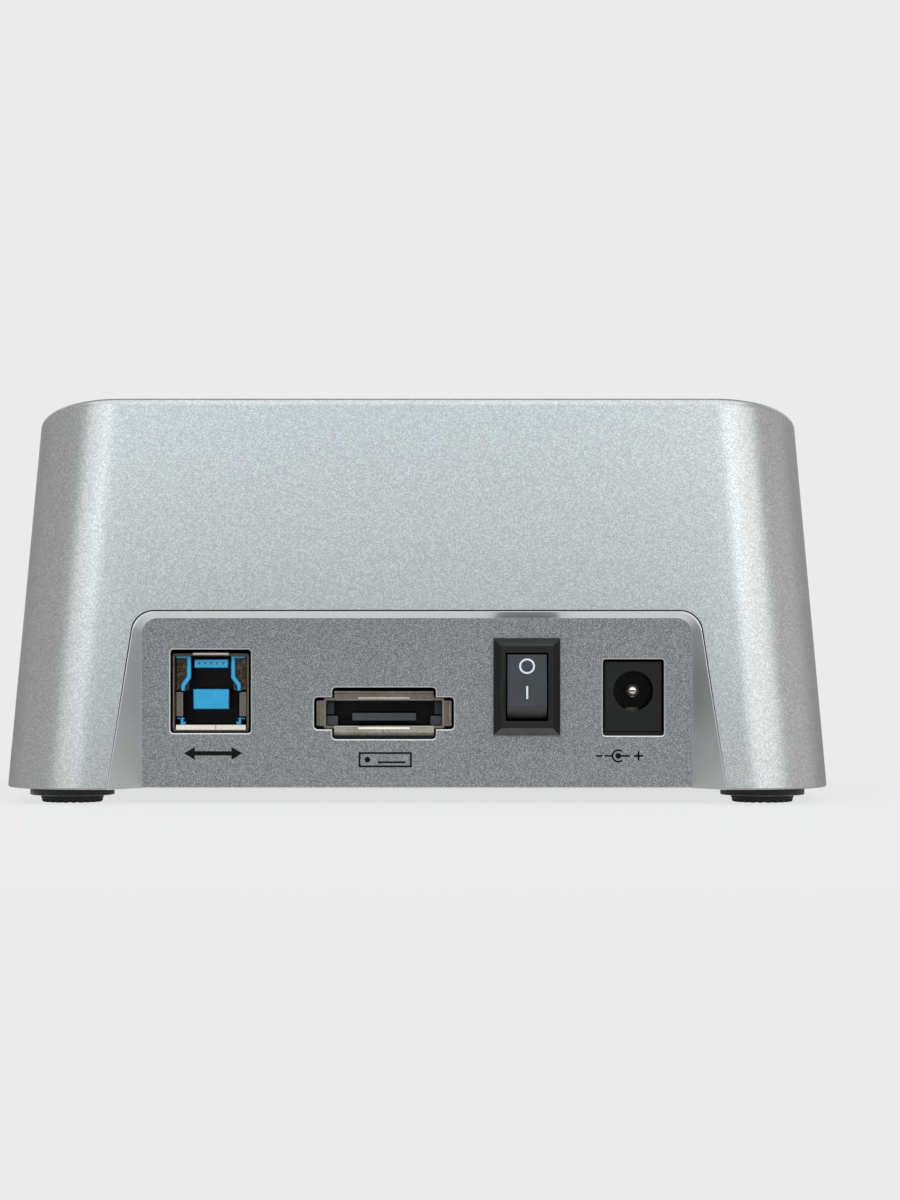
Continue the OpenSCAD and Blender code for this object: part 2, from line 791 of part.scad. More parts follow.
module rear_panel() {
  color("darkgray")
  difference() {
    union() {
      difference() {
        intersection() {
          along_y(panel_back, far) insert_outline(0, case_z);
          loft([level_ring(0, case_z), top_ring(0, -rim_round)]);
        }
        hull() {
          along_y(panel_y, panel_y + skin) flare_face(0);
          along_y(panel_y + flare_reach, panel_y + flare_reach + skin) flare_face(flare_reach);
        }
      }
      at_lugs() translate([-lug.y / 2, -lug.x / 2, 0]) cube([lug.y, lug.x + fuse, lug.z]);
    }
    at_lugs() translate([0, 0, -past]) cylinder(h = lug.z + 2 * past, r = peg_r + run_gap);
    along_y(panel_back - past, panel_y + past) port_cutouts();
  }
}

// Openings in the rear panel, one for each socket and the switch
module port_cutouts() {
  usb_shift = 0.22;
  lip_play = 0.2;
  lip_room = metal_t + lip_out + port_gap + lip_play;
  lip_r = 0.6;
  jack_shift = -0.1;
  jack_play = 0.2;
  translate([usb_x, usb_z + usb_h / 2 + usb_shift])
    rounded(usb_w + 2 * port_gap, usb_h + usb_shift + 2 * port_gap, cut_r);
  translate([esata_x, esata_z]) {
    rounded(lip_w + 2 * port_gap, esata_h + 2 * lip_room, lip_r);
    rounded(esata_w + 2 * (lip_room - lip_play), esata_h + 2 * (port_gap + lip_play), lip_r);
  }
  translate([jack_x, board_top + jack_h / 2 + jack_shift])
    rounded(jack_w + 2 * port_gap, jack_h + 2 * (jack_play + port_gap), cut_r);
  translate([switch_x, switch_z])
    square([switch_w + 2 * seat_gap, switch_h + 2 * seat_gap], center = true);
}

module base_plate() {
  w = 2 * (half_w(base_top) - case_wall - seat_gap);
  d = 2 * (half_d(base_top) - case_wall - seat_gap);
  cut = insert_low + seat_gap;
  color("dimgray")
  difference() {
    union() {
      translate([0, 0, base_z]) linear_extrude(base_t) rounded(w, d, corner_r - case_wall);
      at_corners(foot_x, foot_y)
        translate([0, 0, pad_show]) cylinder(h = base_z - pad_show + fuse, r = boss_d / 2);
      at_board_holes()
        translate([0, 0, base_top - fuse])
          cylinder(h = board_low - base_top + fuse, r = standoff_r);
      at_lugs() translate([0, 0, -fuse]) cylinder(h = lug.z + 2 * fuse, r = peg_r);
    }
    box([-cut, panel_back - seat_gap, base_z - past], [cut, far, base_top + past]);
    at_corners(foot_x, foot_y) {
      translate([0, 0, pad_show - past])
        cylinder(h = past + pad_seat, r = pad_d / 2 + run_gap);
      translate([0, 0, pad_show])
        cylinder(h = head_seat - pad_show, r = head_r + run_gap);
      translate([0, 0, pad_show]) cylinder(h = far, r = screw_r + screw_gap);
    }
    at_board_holes() translate([0, 0, base_top]) cylinder(h = far, r = screw_r + run_gap);
  }
}

module at_board_holes() {
  for (sx = [-1, 1], sy = [-1, 1])
    translate([sx * (board_w / 2 - board_hole_x), board_mid + sy * (board_d / 2 - board_hole_y), 0])
      children();
}

// Rubber pad with a ring groove in its sole
module foot(sx, sy) {
  groove_r = pad_d / 2 - 0.9;
  color("#202020")
  translate([sx * foot_x, sy * foot_y, 0])
    difference() {
      cylinder(h = pad_show + pad_seat, r = pad_d / 2);
      translate([0, 0, -past])
        difference() {
          cylinder(h = past + groove_deep, r = groove_r);
          translate([0, 0, -past]) cylinder(h = far, r = groove_r - groove_w);
        }
    }
}

// Top plate, cradle and flap

// Ears that carry the ends of the flap's pin, grown by a gap where they need room
module hinge_ears(gap, high) {
  low = -barrel_r - ear_drop - gap;
  on_hinge()
    for (s = [-1, 1])
      translate([s * (bay_w + ear_w) / 2 - ear_w / 2 - gap, slot_front_s - gap, low])
        cube([ear_w + 2 * gap, -2 * slot_front_s + 2 * gap, high - low]);
}

module top_plate() {
  edge = case_wall + seat_gap;
  color("#26282a")
  difference() {
    union() {
      loft([top_ring(edge, plate_low_n), top_ring(edge, plate_top_n)]);
      hinge_ears(0, touch);
      intersection() {
        at_cradle_screws() cylinder(h = far, r = mast_r);
        below_top(plate_low_n + fuse);
      }
    }
    on_hinge() {
      translate([-bay_w / 2, slot_front_s, -far])
        cube([bay_w, slot_rear_s - slot_front_s, 2 * far]);
      bar_x(bay_w + 2 * ear_w + 2 * past, pin_r + run_gap);
    }
    at_cradle_screws() translate([0, 0, -past]) cylinder(h = mast_h, r = screw_r + run_gap);
    translate([0, button_y, 0])
      linear_extrude(far)
        rounded(button_w + 2 * move_gap, button_d + 2 * move_gap, button_d / 2);
    at_lights() cylinder(h = far, r = light_d / 2 + run_gap);
  }
}

// Depth of the front or rear screw masts, and the height of a mast's lower end
function mast_y(side) = side < 0 ? cradle_out - cradle_screw_in : cradle_back + cradle_screw_in;
function mast_low(y) = top_z(y, plate_low_n) - mast_h;

// Places the four screw masts, each with its lower end at the origin
module at_cradle_screws() {
  for (sx = [-1, 1], sy = [-1, 1])
    translate([sx * cradle_screw_x, mast_y(sy), mast_low(mast_y(sy))]) children();
}

module at_lights() {
  for (k = [0, 1])
    translate([board_w / 2 - light_side - k * light_gap, button_y, 0]) children();
}

module drive_cradle() {
  half = bay_w / 2 + cradle_t;
  socket_room = [socket_l / 2 + move_gap, socket_t / 2 + move_gap];
  color("#303234")
  difference() {
    union() {
      difference() {
        box([-half, cradle_out, floor_top - cradle_t], [half, cradle_back, far]);
        box([-bay_w / 2, cradle_front, floor_top], [bay_w / 2, cradle_rear, far + past]);
        box([-cheek_x, cradle_out - past, floor_top], [cheek_x, cradle_front + past, window_top]);
      }
      seat_ribs();
      cradle_ears();
      lever_cheeks();
      stem_guide();
    }
    on_top() translate([-far, -far, plate_low_n]) cube(2 * far);
    hinge_ears(seat_gap, far);
    translate([socket_x, socket_y, 0])
      box([-socket_room.x, -socket_room.y, 0], [socket_room.x, socket_room.y, far]);
    flap_arm_slot(-bay_w / 2, small_x0 + move_gap);
    flap_arm_slot(small_x1 - move_gap, bay_w / 2);
  }
}

// Slot in the floor for one arm of the open flap
module flap_arm_slot(x0, x1) {
  box([x0, cradle_front, 0], [x1, bay_front + arm_back, floor_top + past]);
}

// Ribs that a drive stands on: beside the socket, under a small drive's end, under a large one's
module seat_ribs() {
  high = floor_top + seat_rib;
  swing = sqrt(flap_tip * flap_tip - pow(hinge_z - high, 2));
  front = bay_front + arm_back;
  seat_rib_at(socket_x - socket_l / 2 - move_gap - seat_rib_t, front);
  seat_rib_at(small_x1 - seat_rib_t - move_gap, front);
  seat_rib_at(bay_w / 2 - 4 * seat_rib_t, hinge_y + swing + move_gap);
}

// One rib along the floor, with an upright that holds the drive off the rear wall
module seat_rib_at(x, front) {
  translate([x, 0, floor_top - fuse]) {
    box([0, front, 0], [seat_rib_t, cradle_rear + fuse, fuse + seat_rib]);
    box([0, bay_rear, 0], [seat_rib_t, cradle_rear + fuse, fuse + upright_h]);
  }
}

// Flat ears under the masts, each reaching over to the cradle's wall
module cradle_ears() {
  reach = cradle_screw_in + fuse;
  difference() {
    for (sx = [-1, 1], sy = [-1, 1])
      let (y = mast_y(sy))
      translate([sx * cradle_screw_x - mast_r, y, mast_low(y) - cradle_ear])
        translate([0, sy < 0 ? -mast_r : -reach, 0])
          cube([2 * mast_r, reach + mast_r, cradle_ear]);
    at_cradle_screws()
      translate([0, 0, -cradle_ear - past])
        cylinder(h = cradle_ear + 2 * past, r = screw_r + screw_gap);
  }
}

// Two cheeks that carry the lever's pin
module lever_cheeks() {
  for (s = [-1, 1])
    translate([s * (cheek_x + cheek_t / 2), lever_y, lever_z])
      difference() {
        translate([-cheek_t / 2, -hub_r, -hub_r])
          cube([cheek_t, cradle_out - lever_y + hub_r + fuse, 2 * hub_r]);
        bar_x(cheek_t + 2 * past, pin_r + run_gap);
      }
}

// Tube that the button's stem runs in, on a web from the cradle's wall
module stem_guide() {
  difference() {
    union() {
      translate([0, stem_y, guide_low]) cylinder(h = guide_top - guide_low, r = guide_r);
      box([-guide_wall, stem_y, guide_low], [guide_wall, cradle_out + fuse, guide_top]);
    }
    translate([0, stem_y, 0]) cylinder(h = far, r = stem_r + run_gap);
  }
}

module slot_flap() {
  spring_room = [flap_spring_l + 2 * move_gap, coil_r + flap_wire + move_gap];
  color("#202224")
  on_hinge()
  difference() {
    union() {
      difference() {
        box([-flap_half, touch, hinge_drop], [flap_half, slot_rear_s - move_gap, flap_rise]);
        translate([small_x0, small_s, -far]) cube([small_w, far, 2 * far]);
      }
      bar_x(2 * flap_half, barrel_r);
    }
    bar_x(2 * bay_w, pin_r + run_gap);
    translate([flap_spring_x - move_gap, -far, -far])
      cube([spring_room.x, far + spring_room.y, 2 * far]);
  }
}

module flap_pin() {
  end_gap = 0.2;
  color("gainsboro")
  on_hinge() bar_x(bay_w + 2 * (ear_w - end_gap), pin_r);
}

// Torsion spring: a leg square to the cradle's wall, a coil round the pin, a short free leg
flap_steps = turn_steps * flap_turns - turn_steps / 2;
flap_coil = [for (k = [0:flap_steps])
  let (a = 180 - k * 360 / turn_steps)
  [flap_spring_x + flap_wire / 2 + (flap_spring_l - flap_wire) * k / flap_steps,
   coil_r * cos(a), coil_r * sin(a)]];
wall_s = (cradle_front - hinge_y - flap_leg * sin(top_fall)) / cos(top_fall);
flap_leg_end = [flap_coil[0].x, wall_s, -flap_leg];
flap_path = concat(
  [flap_leg_end, flap_leg_end + flap_wire * [0, cos(top_fall), -sin(top_fall)]],
  [for (drop = [flap_leg / 2, flap_wire]) flap_coil[0] - [0, 0, drop]],
  flap_coil,
  [for (drop = [1, 3]) flap_coil[flap_steps] - [0, 0, drop * flap_wire]]);

module flap_spring() {
  echo(flap_spring_gap = wound_gap(flap_coil, flap_wire));
  color("silver") on_hinge() sweep(flap_path, flap_wire / 2, 6);
}

// Eject button, lever and spring

module eject_button() {
  color("silver") {
    intersection() {
      translate([0, button_y, button_low])
        linear_extrude(far) rounded(button_w, button_d, button_d / 2 - move_gap);
      below_top(plate_top_n + button_up);
    }
    intersection() {
      translate([0, button_y, button_low])
        linear_extrude(far)
          rounded(button_w + 2 * flange_w, button_d + 2 * flange_w, button_d / 2);
      below_top(plate_low_n - seat_gap);
    }
    translate([0, stem_y, stem_low + stem_r]) {
      cylinder(h = button_low - stem_low - stem_r + fuse, r = stem_r);
      sphere(r = stem_r);
    }
  }
}

// Compression spring between the guide and the button, with straight upright ends
eject_steps = turn_steps * eject_turns;
eject_coil = [for (k = [0:eject_steps])
  let (a = k * 360 / turn_steps, rise = eject_spring_l - 2 * eject_wire)
  [eject_coil_r * cos(a), eject_coil_r * sin(a), eject_wire + rise * k / eject_steps]];
eject_path = concat(
  [eject_coil[0] - [0, 0, eject_wire]],
  eject_coil,
  [eject_coil[eject_steps] + [0, 0, eject_wire]]);

module eject_spring() {
  echo(eject_spring_gap = wound_gap(eject_coil, eject_wire));
  color("gainsboro") translate([0, stem_y, guide_top]) sweep(eject_path, eject_wire / 2, 6);
}

module eject_lever() {
  front = -stem_arm - stem_r - fuse;
  color("whitesmoke")
  translate([0, lever_y, lever_z])
    difference() {
      union() {
        box([-lever_w / 2, front, -lever_t / 2], [lever_w / 2, lever_tip - lever_y, lever_t / 2]);
        bar_x(lever_w, hub_r);
      }
      bar_x(lever_w + 2 * past, pin_r + run_gap);
    }
}

module lever_pin() {
  color("gainsboro")
  translate([0, lever_y, lever_z]) bar_x(2 * (cheek_x + cheek_t), pin_r);
}

module light_pipes() {
  led_gap = 0.3;
  lens_up = 0.2;
  color("aliceblue")
  intersection() {
    at_lights() translate([0, 0, board_top + led_h + led_gap]) cylinder(h = far, r = light_d / 2);
    below_top(plate_top_n + lens_up);
  }
}

// Board and the sockets on it

module main_board() {
  color("darkgreen")
  difference() {
    translate([0, board_mid, board_low]) block([board_w, board_d, board_t]);
    at_board_holes()
      translate([0, 0, board_low - past])
        cylinder(h = board_t + 2 * past, r = screw_r + screw_gap);
  }
}

// Upright drive socket with a keyed signal slot and a keyed supply slot
module drive_socket() {
  horn = [2.6, socket_t - 1.6, 2.2];
  horn_taper = 0.7;
  key_deep = 1.2;
  color("#1c1c1e")
  translate([socket_x, socket_y, board_top])
    difference() {
      union() {
        block([socket_l, socket_t, socket_h]);
        for (s = [-1, 1])
          translate([s * (socket_l - horn.x) / 2, 0, socket_h])
            along_y(-horn.y / 2, horn.y / 2)
              polygon([
                [-horn.x / 2, -fuse], [horn.x / 2, -fuse], [horn.x / 2, 0],
                [horn.x / 2 - horn_taper, horn.z], [horn_taper - horn.x / 2, horn.z], [-horn.x / 2, 0]]);
      }
      for (slot = [[signal_x, signal_l], [supply_x, supply_l]])
        translate([slot.x, -blade_gap / 2, socket_h - blade_deep]) {
          cube([slot.y, blade_gap, far]);
          translate([slot.y - slot_key, 0, 0]) cube([slot_key, blade_gap + key_deep, far]);
        }
    }
}

module drive_contacts() {
  contact = [contact_w, 0.3, blade_deep - 1];
  color("gold")
  translate([socket_x, socket_y - blade_gap / 2, board_top + socket_h - blade_deep])
    for (row = [[signal_x, signal_count], [supply_x, supply_count]], k = [0:row.y - 1])
      translate([row.x + slot_end + k * contact_pitch, 0, 0]) cube(contact);
}

// Sizes inside the square socket, measured from its axis and from the board
usb_sill = 0.6;
usb_tongue = [5.68, 3.5, 6.7];
usb_upper = [5.4, 10, 11.4];
usb_recess = 1.1;
usb_contact_t = 0.15;

module usb_shell() {
  back = port_front - usb_d;
  tab_l = 4;
  sill_slope = 1.2;
  sill_top = metal_t + usb_sill + touch;
  inside = [usb_w - 2 * metal_t, usb_h - 2 * metal_t - usb_sill];
  color("lightsteelblue")
  translate([usb_x, 0, usb_z])
    difference() {
      union() {
        along_y(back, port_front) translate([0, usb_h / 2]) rounded(usb_w, usb_h, metal_t);
        box([-usb_tab_w / 2, port_front - tab_l, usb_h - touch],
            [usb_tab_w / 2, port_front, usb_h + usb_tab_h]);
      }
      along_y(back + metal_t, port_front + past)
        translate([0, (usb_h + usb_sill) / 2]) rounded(inside.x, inside.y, metal_t / 2);
      along_x(inside.x)
        polygon([
          [port_front + touch, metal_t / 2], [port_front + touch, sill_top],
          [port_front - sill_slope, sill_top]]);
    }
}

// Insulator: a rear block, two tongues, stepped side walls and small lower corners
module usb_insulator() {
  clear = 0.05;
  stop = port_front - usb_deep;
  front = port_front - usb_sill;
  root = stop - past;
  low = metal_t + usb_sill + clear;
  high = usb_h - metal_t - clear;
  half = usb_w / 2 - metal_t - clear - 0.3;
  neck = usb_tongue.x / 2 + 0.31;
  wall = 0.65;
  belly = neck + 0.95;
  corner = [belly - touch, 0.8, 0.4];
  color("deepskyblue")
  translate([usb_x, 0, usb_z]) {
    box([-half, stop - 4, low], [half, stop, high]);
    for (tongue = [usb_tongue, usb_upper])
      box([-tongue.x / 2, root, tongue.y], [tongue.x / 2, port_front - usb_recess, tongue.z]);
    for (s = [0, 1])
      mirror([s, 0, 0])
        along_y(root, front) {
          polygon([
            [neck, high - touch], [neck, usb_tongue.z + 1.75], [belly, usb_tongue.z + 0.5],
            [belly, usb_tongue.z - 0.3], [belly + wall, usb_tongue.z - 0.3],
            [belly + wall, usb_tongue.z + 0.75], [neck + wall, usb_tongue.z + 2],
            [neck + wall, high - touch]]);
          polygon([
            [corner.x, low], [corner.x + corner.y, low], [corner.x + corner.y, usb_tongue.y - 1.3],
            [corner.x + corner.z, usb_tongue.y - 1.3], [corner.x + corner.z, low + fuse],
            [corner.x, low + fuse]]);
        }
  }
}

module usb_contacts() {
  l = usb_deep - usb_recess - 1.3;
  outer = 1.25;
  wide = 0.7;
  narrow = 0.44;
  color("gold")
  translate([usb_x, port_front - usb_deep, usb_z]) {
    for (x = [-outer, outer], z = [usb_tongue.y - usb_contact_t, usb_tongue.z])
      translate([x - wide / 2, 0, z]) cube([wide, l, usb_contact_t]);
    for (k = [-2:2])
      translate([k - narrow / 2, 0, usb_upper.y - usb_contact_t]) cube([narrow, l, usb_contact_t]);
  }
}

// Metal tube with four flared lips and two legs that stand on the board
module esata_shell() {
  back = esata_front - esata_d;
  ow = esata_w + 2 * metal_t;
  oh = esata_h + 2 * metal_t;
  leg_x = (ow - metal_t) / 2;
  leg = [1, 4];
  lip_root = esata_front - lip_out;
  lip = [
    [lip_root, -metal_t], [esata_front, lip_out],
    [esata_front, lip_out - metal_t], [lip_root + metal_t, -metal_t]];
  color("gainsboro")
  translate([esata_x, 0, esata_z]) {
    along_y(back, lip_root + metal_t)
      difference() {
        rounded(ow, oh, metal_t);
        rounded(esata_w, esata_h, metal_t / 2);
      }
    for (s = [0, 1]) {
      mirror([0, 0, s]) translate([0, 0, oh / 2]) along_x(lip_w) polygon(lip);
      mirror([s, 0, 0])
        translate([ow / 2, 0, 0]) rotate([0, 90, 0]) along_x(esata_h) polygon(lip);
    }
    for (s = [-1, 1])
      translate([s * leg_x - metal_t / 2, back, board_top - esata_z])
        box([0, leg.x, 0], [metal_t, leg.y, esata_z - board_top]);
  }
}

// Insulator: a plug behind the tube, the blade, and two blocks in the lower corners
module esata_insulator() {
  clear = 0.05;
  back = esata_front - esata_d;
  stop = esata_front - esata_deep;
  half = esata_w / 2 - clear;
  high = esata_h / 2 - clear;
  blade_in = 1.6;
  corner = [1.8, 1.5];
  color("slategray")
  translate([esata_x, 0, esata_z]) {
    box([-half, back - fuse, -high], [half, stop, high]);
    box([-half, back - 3, board_top - esata_z], [half, back - clear, high]);
    translate([0, 0, -blade_drop])
      box([-blade_w / 2, stop - past, -blade_t / 2], [blade_w / 2, esata_front - blade_in, blade_t / 2]);
    for (s = [0, 1])
      mirror([s, 0, 0])
        box([half - corner.x, stop - past, -high], [half, esata_front - 1.8, corner.y - high]);
  }
}

module esata_contacts() {
  contact = [contact_w, esata_deep - 2.4, 0.15];
  blade_low = -blade_drop - blade_t / 2;
  color("gold")
  translate([esata_x, esata_front - esata_deep, esata_z + blade_low - contact.z])
    for (k = [-3:3]) translate([k * contact_pitch - contact.x / 2, 0, 0]) cube(contact);
}

// Low-voltage inlet with a groove for its spring contact
module power_jack() {
  flange = 3.4;
  waist = 0.3;
  barrel = jack_w / 2 - touch;
  groove_w = leaf_w + 0.6;
  back = jack_front - jack_d;
  color("#1a1a1a")
  difference() {
    union() {
      translate([jack_x, 0, board_top]) {
        box([-jack_w / 2, jack_front - flange, 0], [jack_w / 2, jack_front, jack_h]);
        box([waist - jack_w / 2, back, 0], [jack_w / 2 - waist, jack_front - fuse, jack_axis]);
      }
      translate([jack_x, jack_front - fuse, jack_z])
        rotate([90, 0, 0]) cylinder(h = jack_d - fuse, r = barrel);
    }
    translate([jack_x, jack_front + past, jack_z])
      rotate([90, 0, 0]) cylinder(h = jack_deep + past, r = jack_bore / 2);
    translate([jack_x - groove_w / 2, jack_front - jack_deep, leaf_z])
      cube([groove_w, jack_deep - past, jack_bore / 2]);
  }
}

module power_pin() {
  l = jack_deep - jack_pin_in - jack_pin / 2;
  color("silver")
  translate([jack_x, jack_front - jack_deep, jack_z]) {
    rotate([-90, 0, 0]) cylinder(h = l, r = jack_pin / 2);
    translate([0, l, 0]) sphere(r = jack_pin / 2);
  }
}

// Spring contact that lies in the groove under the bore, with a raised hump
module power_leaf() {
  l = jack_deep - 2;
  hump = l / 2 + 0.35;
  rise = 1;
  color("gainsboro")
  translate([jack_x, jack_front - jack_deep, leaf_z]) along_x(leaf_w)
    polygon([
      [0, 0], [l, 0], [l, leaf_t], [hump + 1.3, leaf_t], [hump + 0.5, leaf_t + rise],
      [hump - 0.5, leaf_t + rise], [hump - 1.3, leaf_t], [0, leaf_t]]);
}

// Rocker switch

module switch_body() {
  barb = [3, 0.35];
  barb_y = panel_back - run_gap;
  barb_z = switch_h / 2 - touch;
  axle_room = 0.1;
  color("#161616")
  translate([switch_x, 0, switch_z])
    difference() {
      union() {
        hull() {
          along_y(panel_y, panel_y + bezel_edge) square([bezel_w, bezel_h], center = true);
          along_y(bezel_front - skin, bezel_front)
            square([bezel_w - 2 * bezel_slope, bezel_h - 2 * bezel_slope], center = true);
        }
        along_y(switch_back, panel_y + touch) square([switch_w, switch_h], center = true);
        for (s = [0, 1])
          mirror([0, 0, s]) along_x(switch_w - barb.x)
            polygon([[barb_y, barb_z], [barb_y, barb_z + barb.y + touch], [panel_back - barb.x, barb_z]]);
      }
      along_y(switch_back + switch_floor, far)
        square([rocker_w + 2 * rocker_gap, 2 * rocker_half], center = true);
      translate([0, rocker_y, 0]) bar_x(rocker_w + 2 * (axle_l + axle_room), axle_r + run_gap);
    }
}

// Rocker with the ring end pressed in
module switch_rocker() {
  root = -2;
  shoulder = 1.5;
  shoulder_half = sqrt(rocker_r * rocker_r - shoulder * shoulder);
  color("#1b1b1b")
  translate([switch_x, rocker_y, switch_z]) {
    rotate([rocker_tilt, 0, 0])
      along_x(rocker_w)
        union() {
          intersection() {
            circle(r = rocker_r);
            translate([root, -far]) square([shoulder - root, 2 * far]);
          }
          polygon([
            [shoulder - touch, shoulder_half], [shoulder, shoulder_half], [rocker_up, rocker_face],
            [rocker_up, -rocker_face], [shoulder, -shoulder_half], [shoulder - touch, -shoulder_half]]);
        }
    bar_x(rocker_w + 2 * axle_l, axle_r);
  }
}

module switch_terminals() {
  color("gold")
  for (z = terminal_z)
    translate([switch_x, switch_back, z])
      box([-tab_w / 2, -tab_l, -tab_t / 2], [tab_w / 2, 0, tab_t / 2]);
}

// Route from a terminal to the header: straight ends joined by a bow to the front
function bow(p, q, r, s, t) =
  pow(1 - t, 3) * p + 3 * t * pow(1 - t, 2) * q + 3 * t * t * (1 - t) * r + t * t * t * s;
function wire_route(from, to) =
  let (a = from - [0, wire_d, 0], b = to - [0, wire_d, 0], pull = [0, wire_bow, 0])
  concat([from], [for (k = [0:wire_steps]) bow(a, a - pull, b - pull, b, k / wire_steps)], [to]);

module switch_wires() {
  color("firebrick")
  for (k = [0, 1])
    sweep(wire_route(
      [switch_x, switch_back - tab_l, terminal_z[k]],
      [switch_x + header_x + (k - 0.5) * header_pitch, header_y, board_top + header_up]), wire_d / 2, 8);
}

module wire_header() {
  color("ivory")
  translate([switch_x + header_x, header_y + header_h / 2, board_top])
    block([header_w, header_h, header_h]);
}

// Chips and small parts, y measured from the middle of the board

module on_board(x, y) {
  translate([x, board_mid + y, board_top]) children();
}

module bridge_chip() {
  color("#202020") on_board(bridge_x, -bridge_fore) block([bridge_w, bridge_w, chip_h]);
}

module flash_chip() {
  color("#202020") on_board(bridge_x + flash_x, -bridge_fore) block([chip_w, chip_d, chip_h]);
}

module crystal() {
  color("silver")
  on_board(bridge_x - crystal_x, -bridge_fore)
    linear_extrude(crystal_h) rounded(crystal_w, crystal_d, crystal_w / 2 - touch);
}

module capacitors() {
  color("silver")
  for (k = [0:2])
    on_board(can_x + k * can_gap - board_w / 2, can_fore - board_d / 2) {
      cylinder(h = can_h, r = can_d / 2);
      block([can_foot, can_foot, can_foot_h]);
    }
}

// The two supply stages, each with an inductor and a regulator
module at_supplies(x) {
  for (k = [0, 1]) on_board(coil_x + x - board_w / 2, k * coil_gap_y - coil_fore) children();
}

module inductors() {
  color("dimgray") at_supplies(0) block([coil_w, coil_w, coil_h]);
}

module regulators() {
  color("#202020") at_supplies(regulator_x) block([chip_w, chip_d, chip_h]);
}

module chip_parts() {
  color("tan")
  for (k = [0:9], s = [-1, 1])
    on_board(board_w / 2 - bit_side - k * bit_gap, s * bit_row - bridge_fore)
      block([bit_l, bit_d, bit_h]);
}

module status_leds() {
  color("white")
  at_lights() translate([0, 0, board_top]) block([led_l, led_d, led_h]);
}

// Pan-head screw pointing up from the origin, its head below
module screw(l) {
  recess = [3, 0.6, 0.8];
  difference() {
    union() {
      translate([0, 0, -head_h]) cylinder(h = head_h, r = head_r);
      cylinder(h = l, r = screw_r);
    }
    for (a = [0, 90])
      rotate(a)
        translate([0, 0, -head_h - past]) block([recess.x, recess.y, recess.z + past]);
  }
}

module board_screws() {
  color("gainsboro")
  at_board_holes() translate([0, 0, board_top]) mirror([0, 0, 1]) screw(board_t + board_screw_l);
}

module case_screws() {
  color("gainsboro")
  at_corners(foot_x, foot_y) translate([0, 0, head_seat]) screw(case_screw_l);
}

module cradle_screws() {
  color("gainsboro")
  at_cradle_screws() translate([0, 0, -cradle_ear]) screw(cradle_ear + cradle_screw_l);
}

outer_shell();
rear_panel();
base_plate();
foot(-1, 1);  // foot_rear_left
foot(1, 1);  // foot_rear_right
foot(-1, -1);  // foot_front_left
foot(1, -1);  // foot_front_right
top_plate();
drive_cradle();
slot_flap();
flap_pin();
flap_spring();
eject_button();
eject_spring();
eject_lever();
lever_pin();
light_pipes();
main_board();
drive_socket();
drive_contacts();
usb_shell();
usb_insulator();
usb_contacts();
esata_shell();
esata_insulator();
esata_contacts();
power_jack();
power_pin();
power_leaf();
switch_body();
switch_rocker();
switch_terminals();
switch_wires();
wire_header();
bridge_chip();
flash_chip();
crystal();
capacitors();
inductors();
regulators();
chip_parts();
status_leds();
board_screws();
case_screws();
cradle_screws();
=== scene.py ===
"""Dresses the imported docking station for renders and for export.

Size fields are in millimetres, meshes are in metres. Z is up and the sockets face +Y.
"""

import logging
import math
from dataclasses import dataclass, field
from enum import Enum
from typing import Callable, Iterable, Sequence

import bmesh
import bpy
from mathutils import Matrix, Vector


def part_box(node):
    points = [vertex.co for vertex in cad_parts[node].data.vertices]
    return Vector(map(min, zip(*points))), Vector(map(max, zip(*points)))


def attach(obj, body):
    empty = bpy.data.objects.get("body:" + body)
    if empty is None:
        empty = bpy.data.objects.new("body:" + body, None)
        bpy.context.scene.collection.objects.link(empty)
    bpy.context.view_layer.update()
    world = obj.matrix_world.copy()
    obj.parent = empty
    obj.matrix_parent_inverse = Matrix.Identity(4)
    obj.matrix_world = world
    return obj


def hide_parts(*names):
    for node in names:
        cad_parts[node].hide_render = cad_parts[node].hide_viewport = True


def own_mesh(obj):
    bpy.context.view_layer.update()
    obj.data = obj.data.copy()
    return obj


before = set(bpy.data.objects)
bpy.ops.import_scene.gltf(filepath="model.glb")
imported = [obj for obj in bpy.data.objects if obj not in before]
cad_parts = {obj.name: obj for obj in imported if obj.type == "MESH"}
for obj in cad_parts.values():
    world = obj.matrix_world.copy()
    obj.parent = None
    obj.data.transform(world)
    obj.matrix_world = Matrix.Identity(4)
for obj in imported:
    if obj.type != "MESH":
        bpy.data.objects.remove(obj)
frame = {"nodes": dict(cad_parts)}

MM = 0.001
LOG = logging.getLogger("dock")

Object = bpy.types.Object
Material = bpy.types.Material
Tree = bpy.types.NodeTree
Node = bpy.types.Node
Socket = bpy.types.NodeSocket
Point = tuple[float, float]
Triple = tuple[float, float, float]
Colour = tuple[float, float, float]

# Distances below which points become one, in metres
WELD = 1e-6
COPY_WELD = 2e-6
# Faces of a copy that turn by less than this are one face, in degrees
FLAT_ANGLE = 0.4
# A path that climbs more steeply than this starts its tube from another side
STEEP = 0.8

# Colour of settled dust
DUST = (0.6, 0.58, 0.54)
# Smudges in a metre
SMUDGE_SCALE = 45.0
# Part of the smudge noise that changes the gloss
SMUDGE_SPAN = (0.3, 0.7)
# Part of a pattern's tone that changes the colour
TONE_SPAN = (0.25, 0.75)
# Smoothest gloss that a smudge may leave
LEAST_ROUGHNESS = 0.02


class Body(Enum):
    """Bodies that the pieces ride on."""

    CASE = "case"
    ROCKER = "rocker"
    FLAP = "flap"
    BUTTON = "button"
    LEVER = "lever"


class PanelPart(Enum):
    """Material slots of the rear insert."""

    FACE = 0
    FLARE = 1
    # Chamfers round the openings, which carry a painted highlight
    EDGE = 2


class Texture(Enum):
    """Surface patterns that a finish can carry."""

    SAND = "sand_grain"
    MOULDED = "moulded_skin"
    BRUSHED = "brushed_lines"


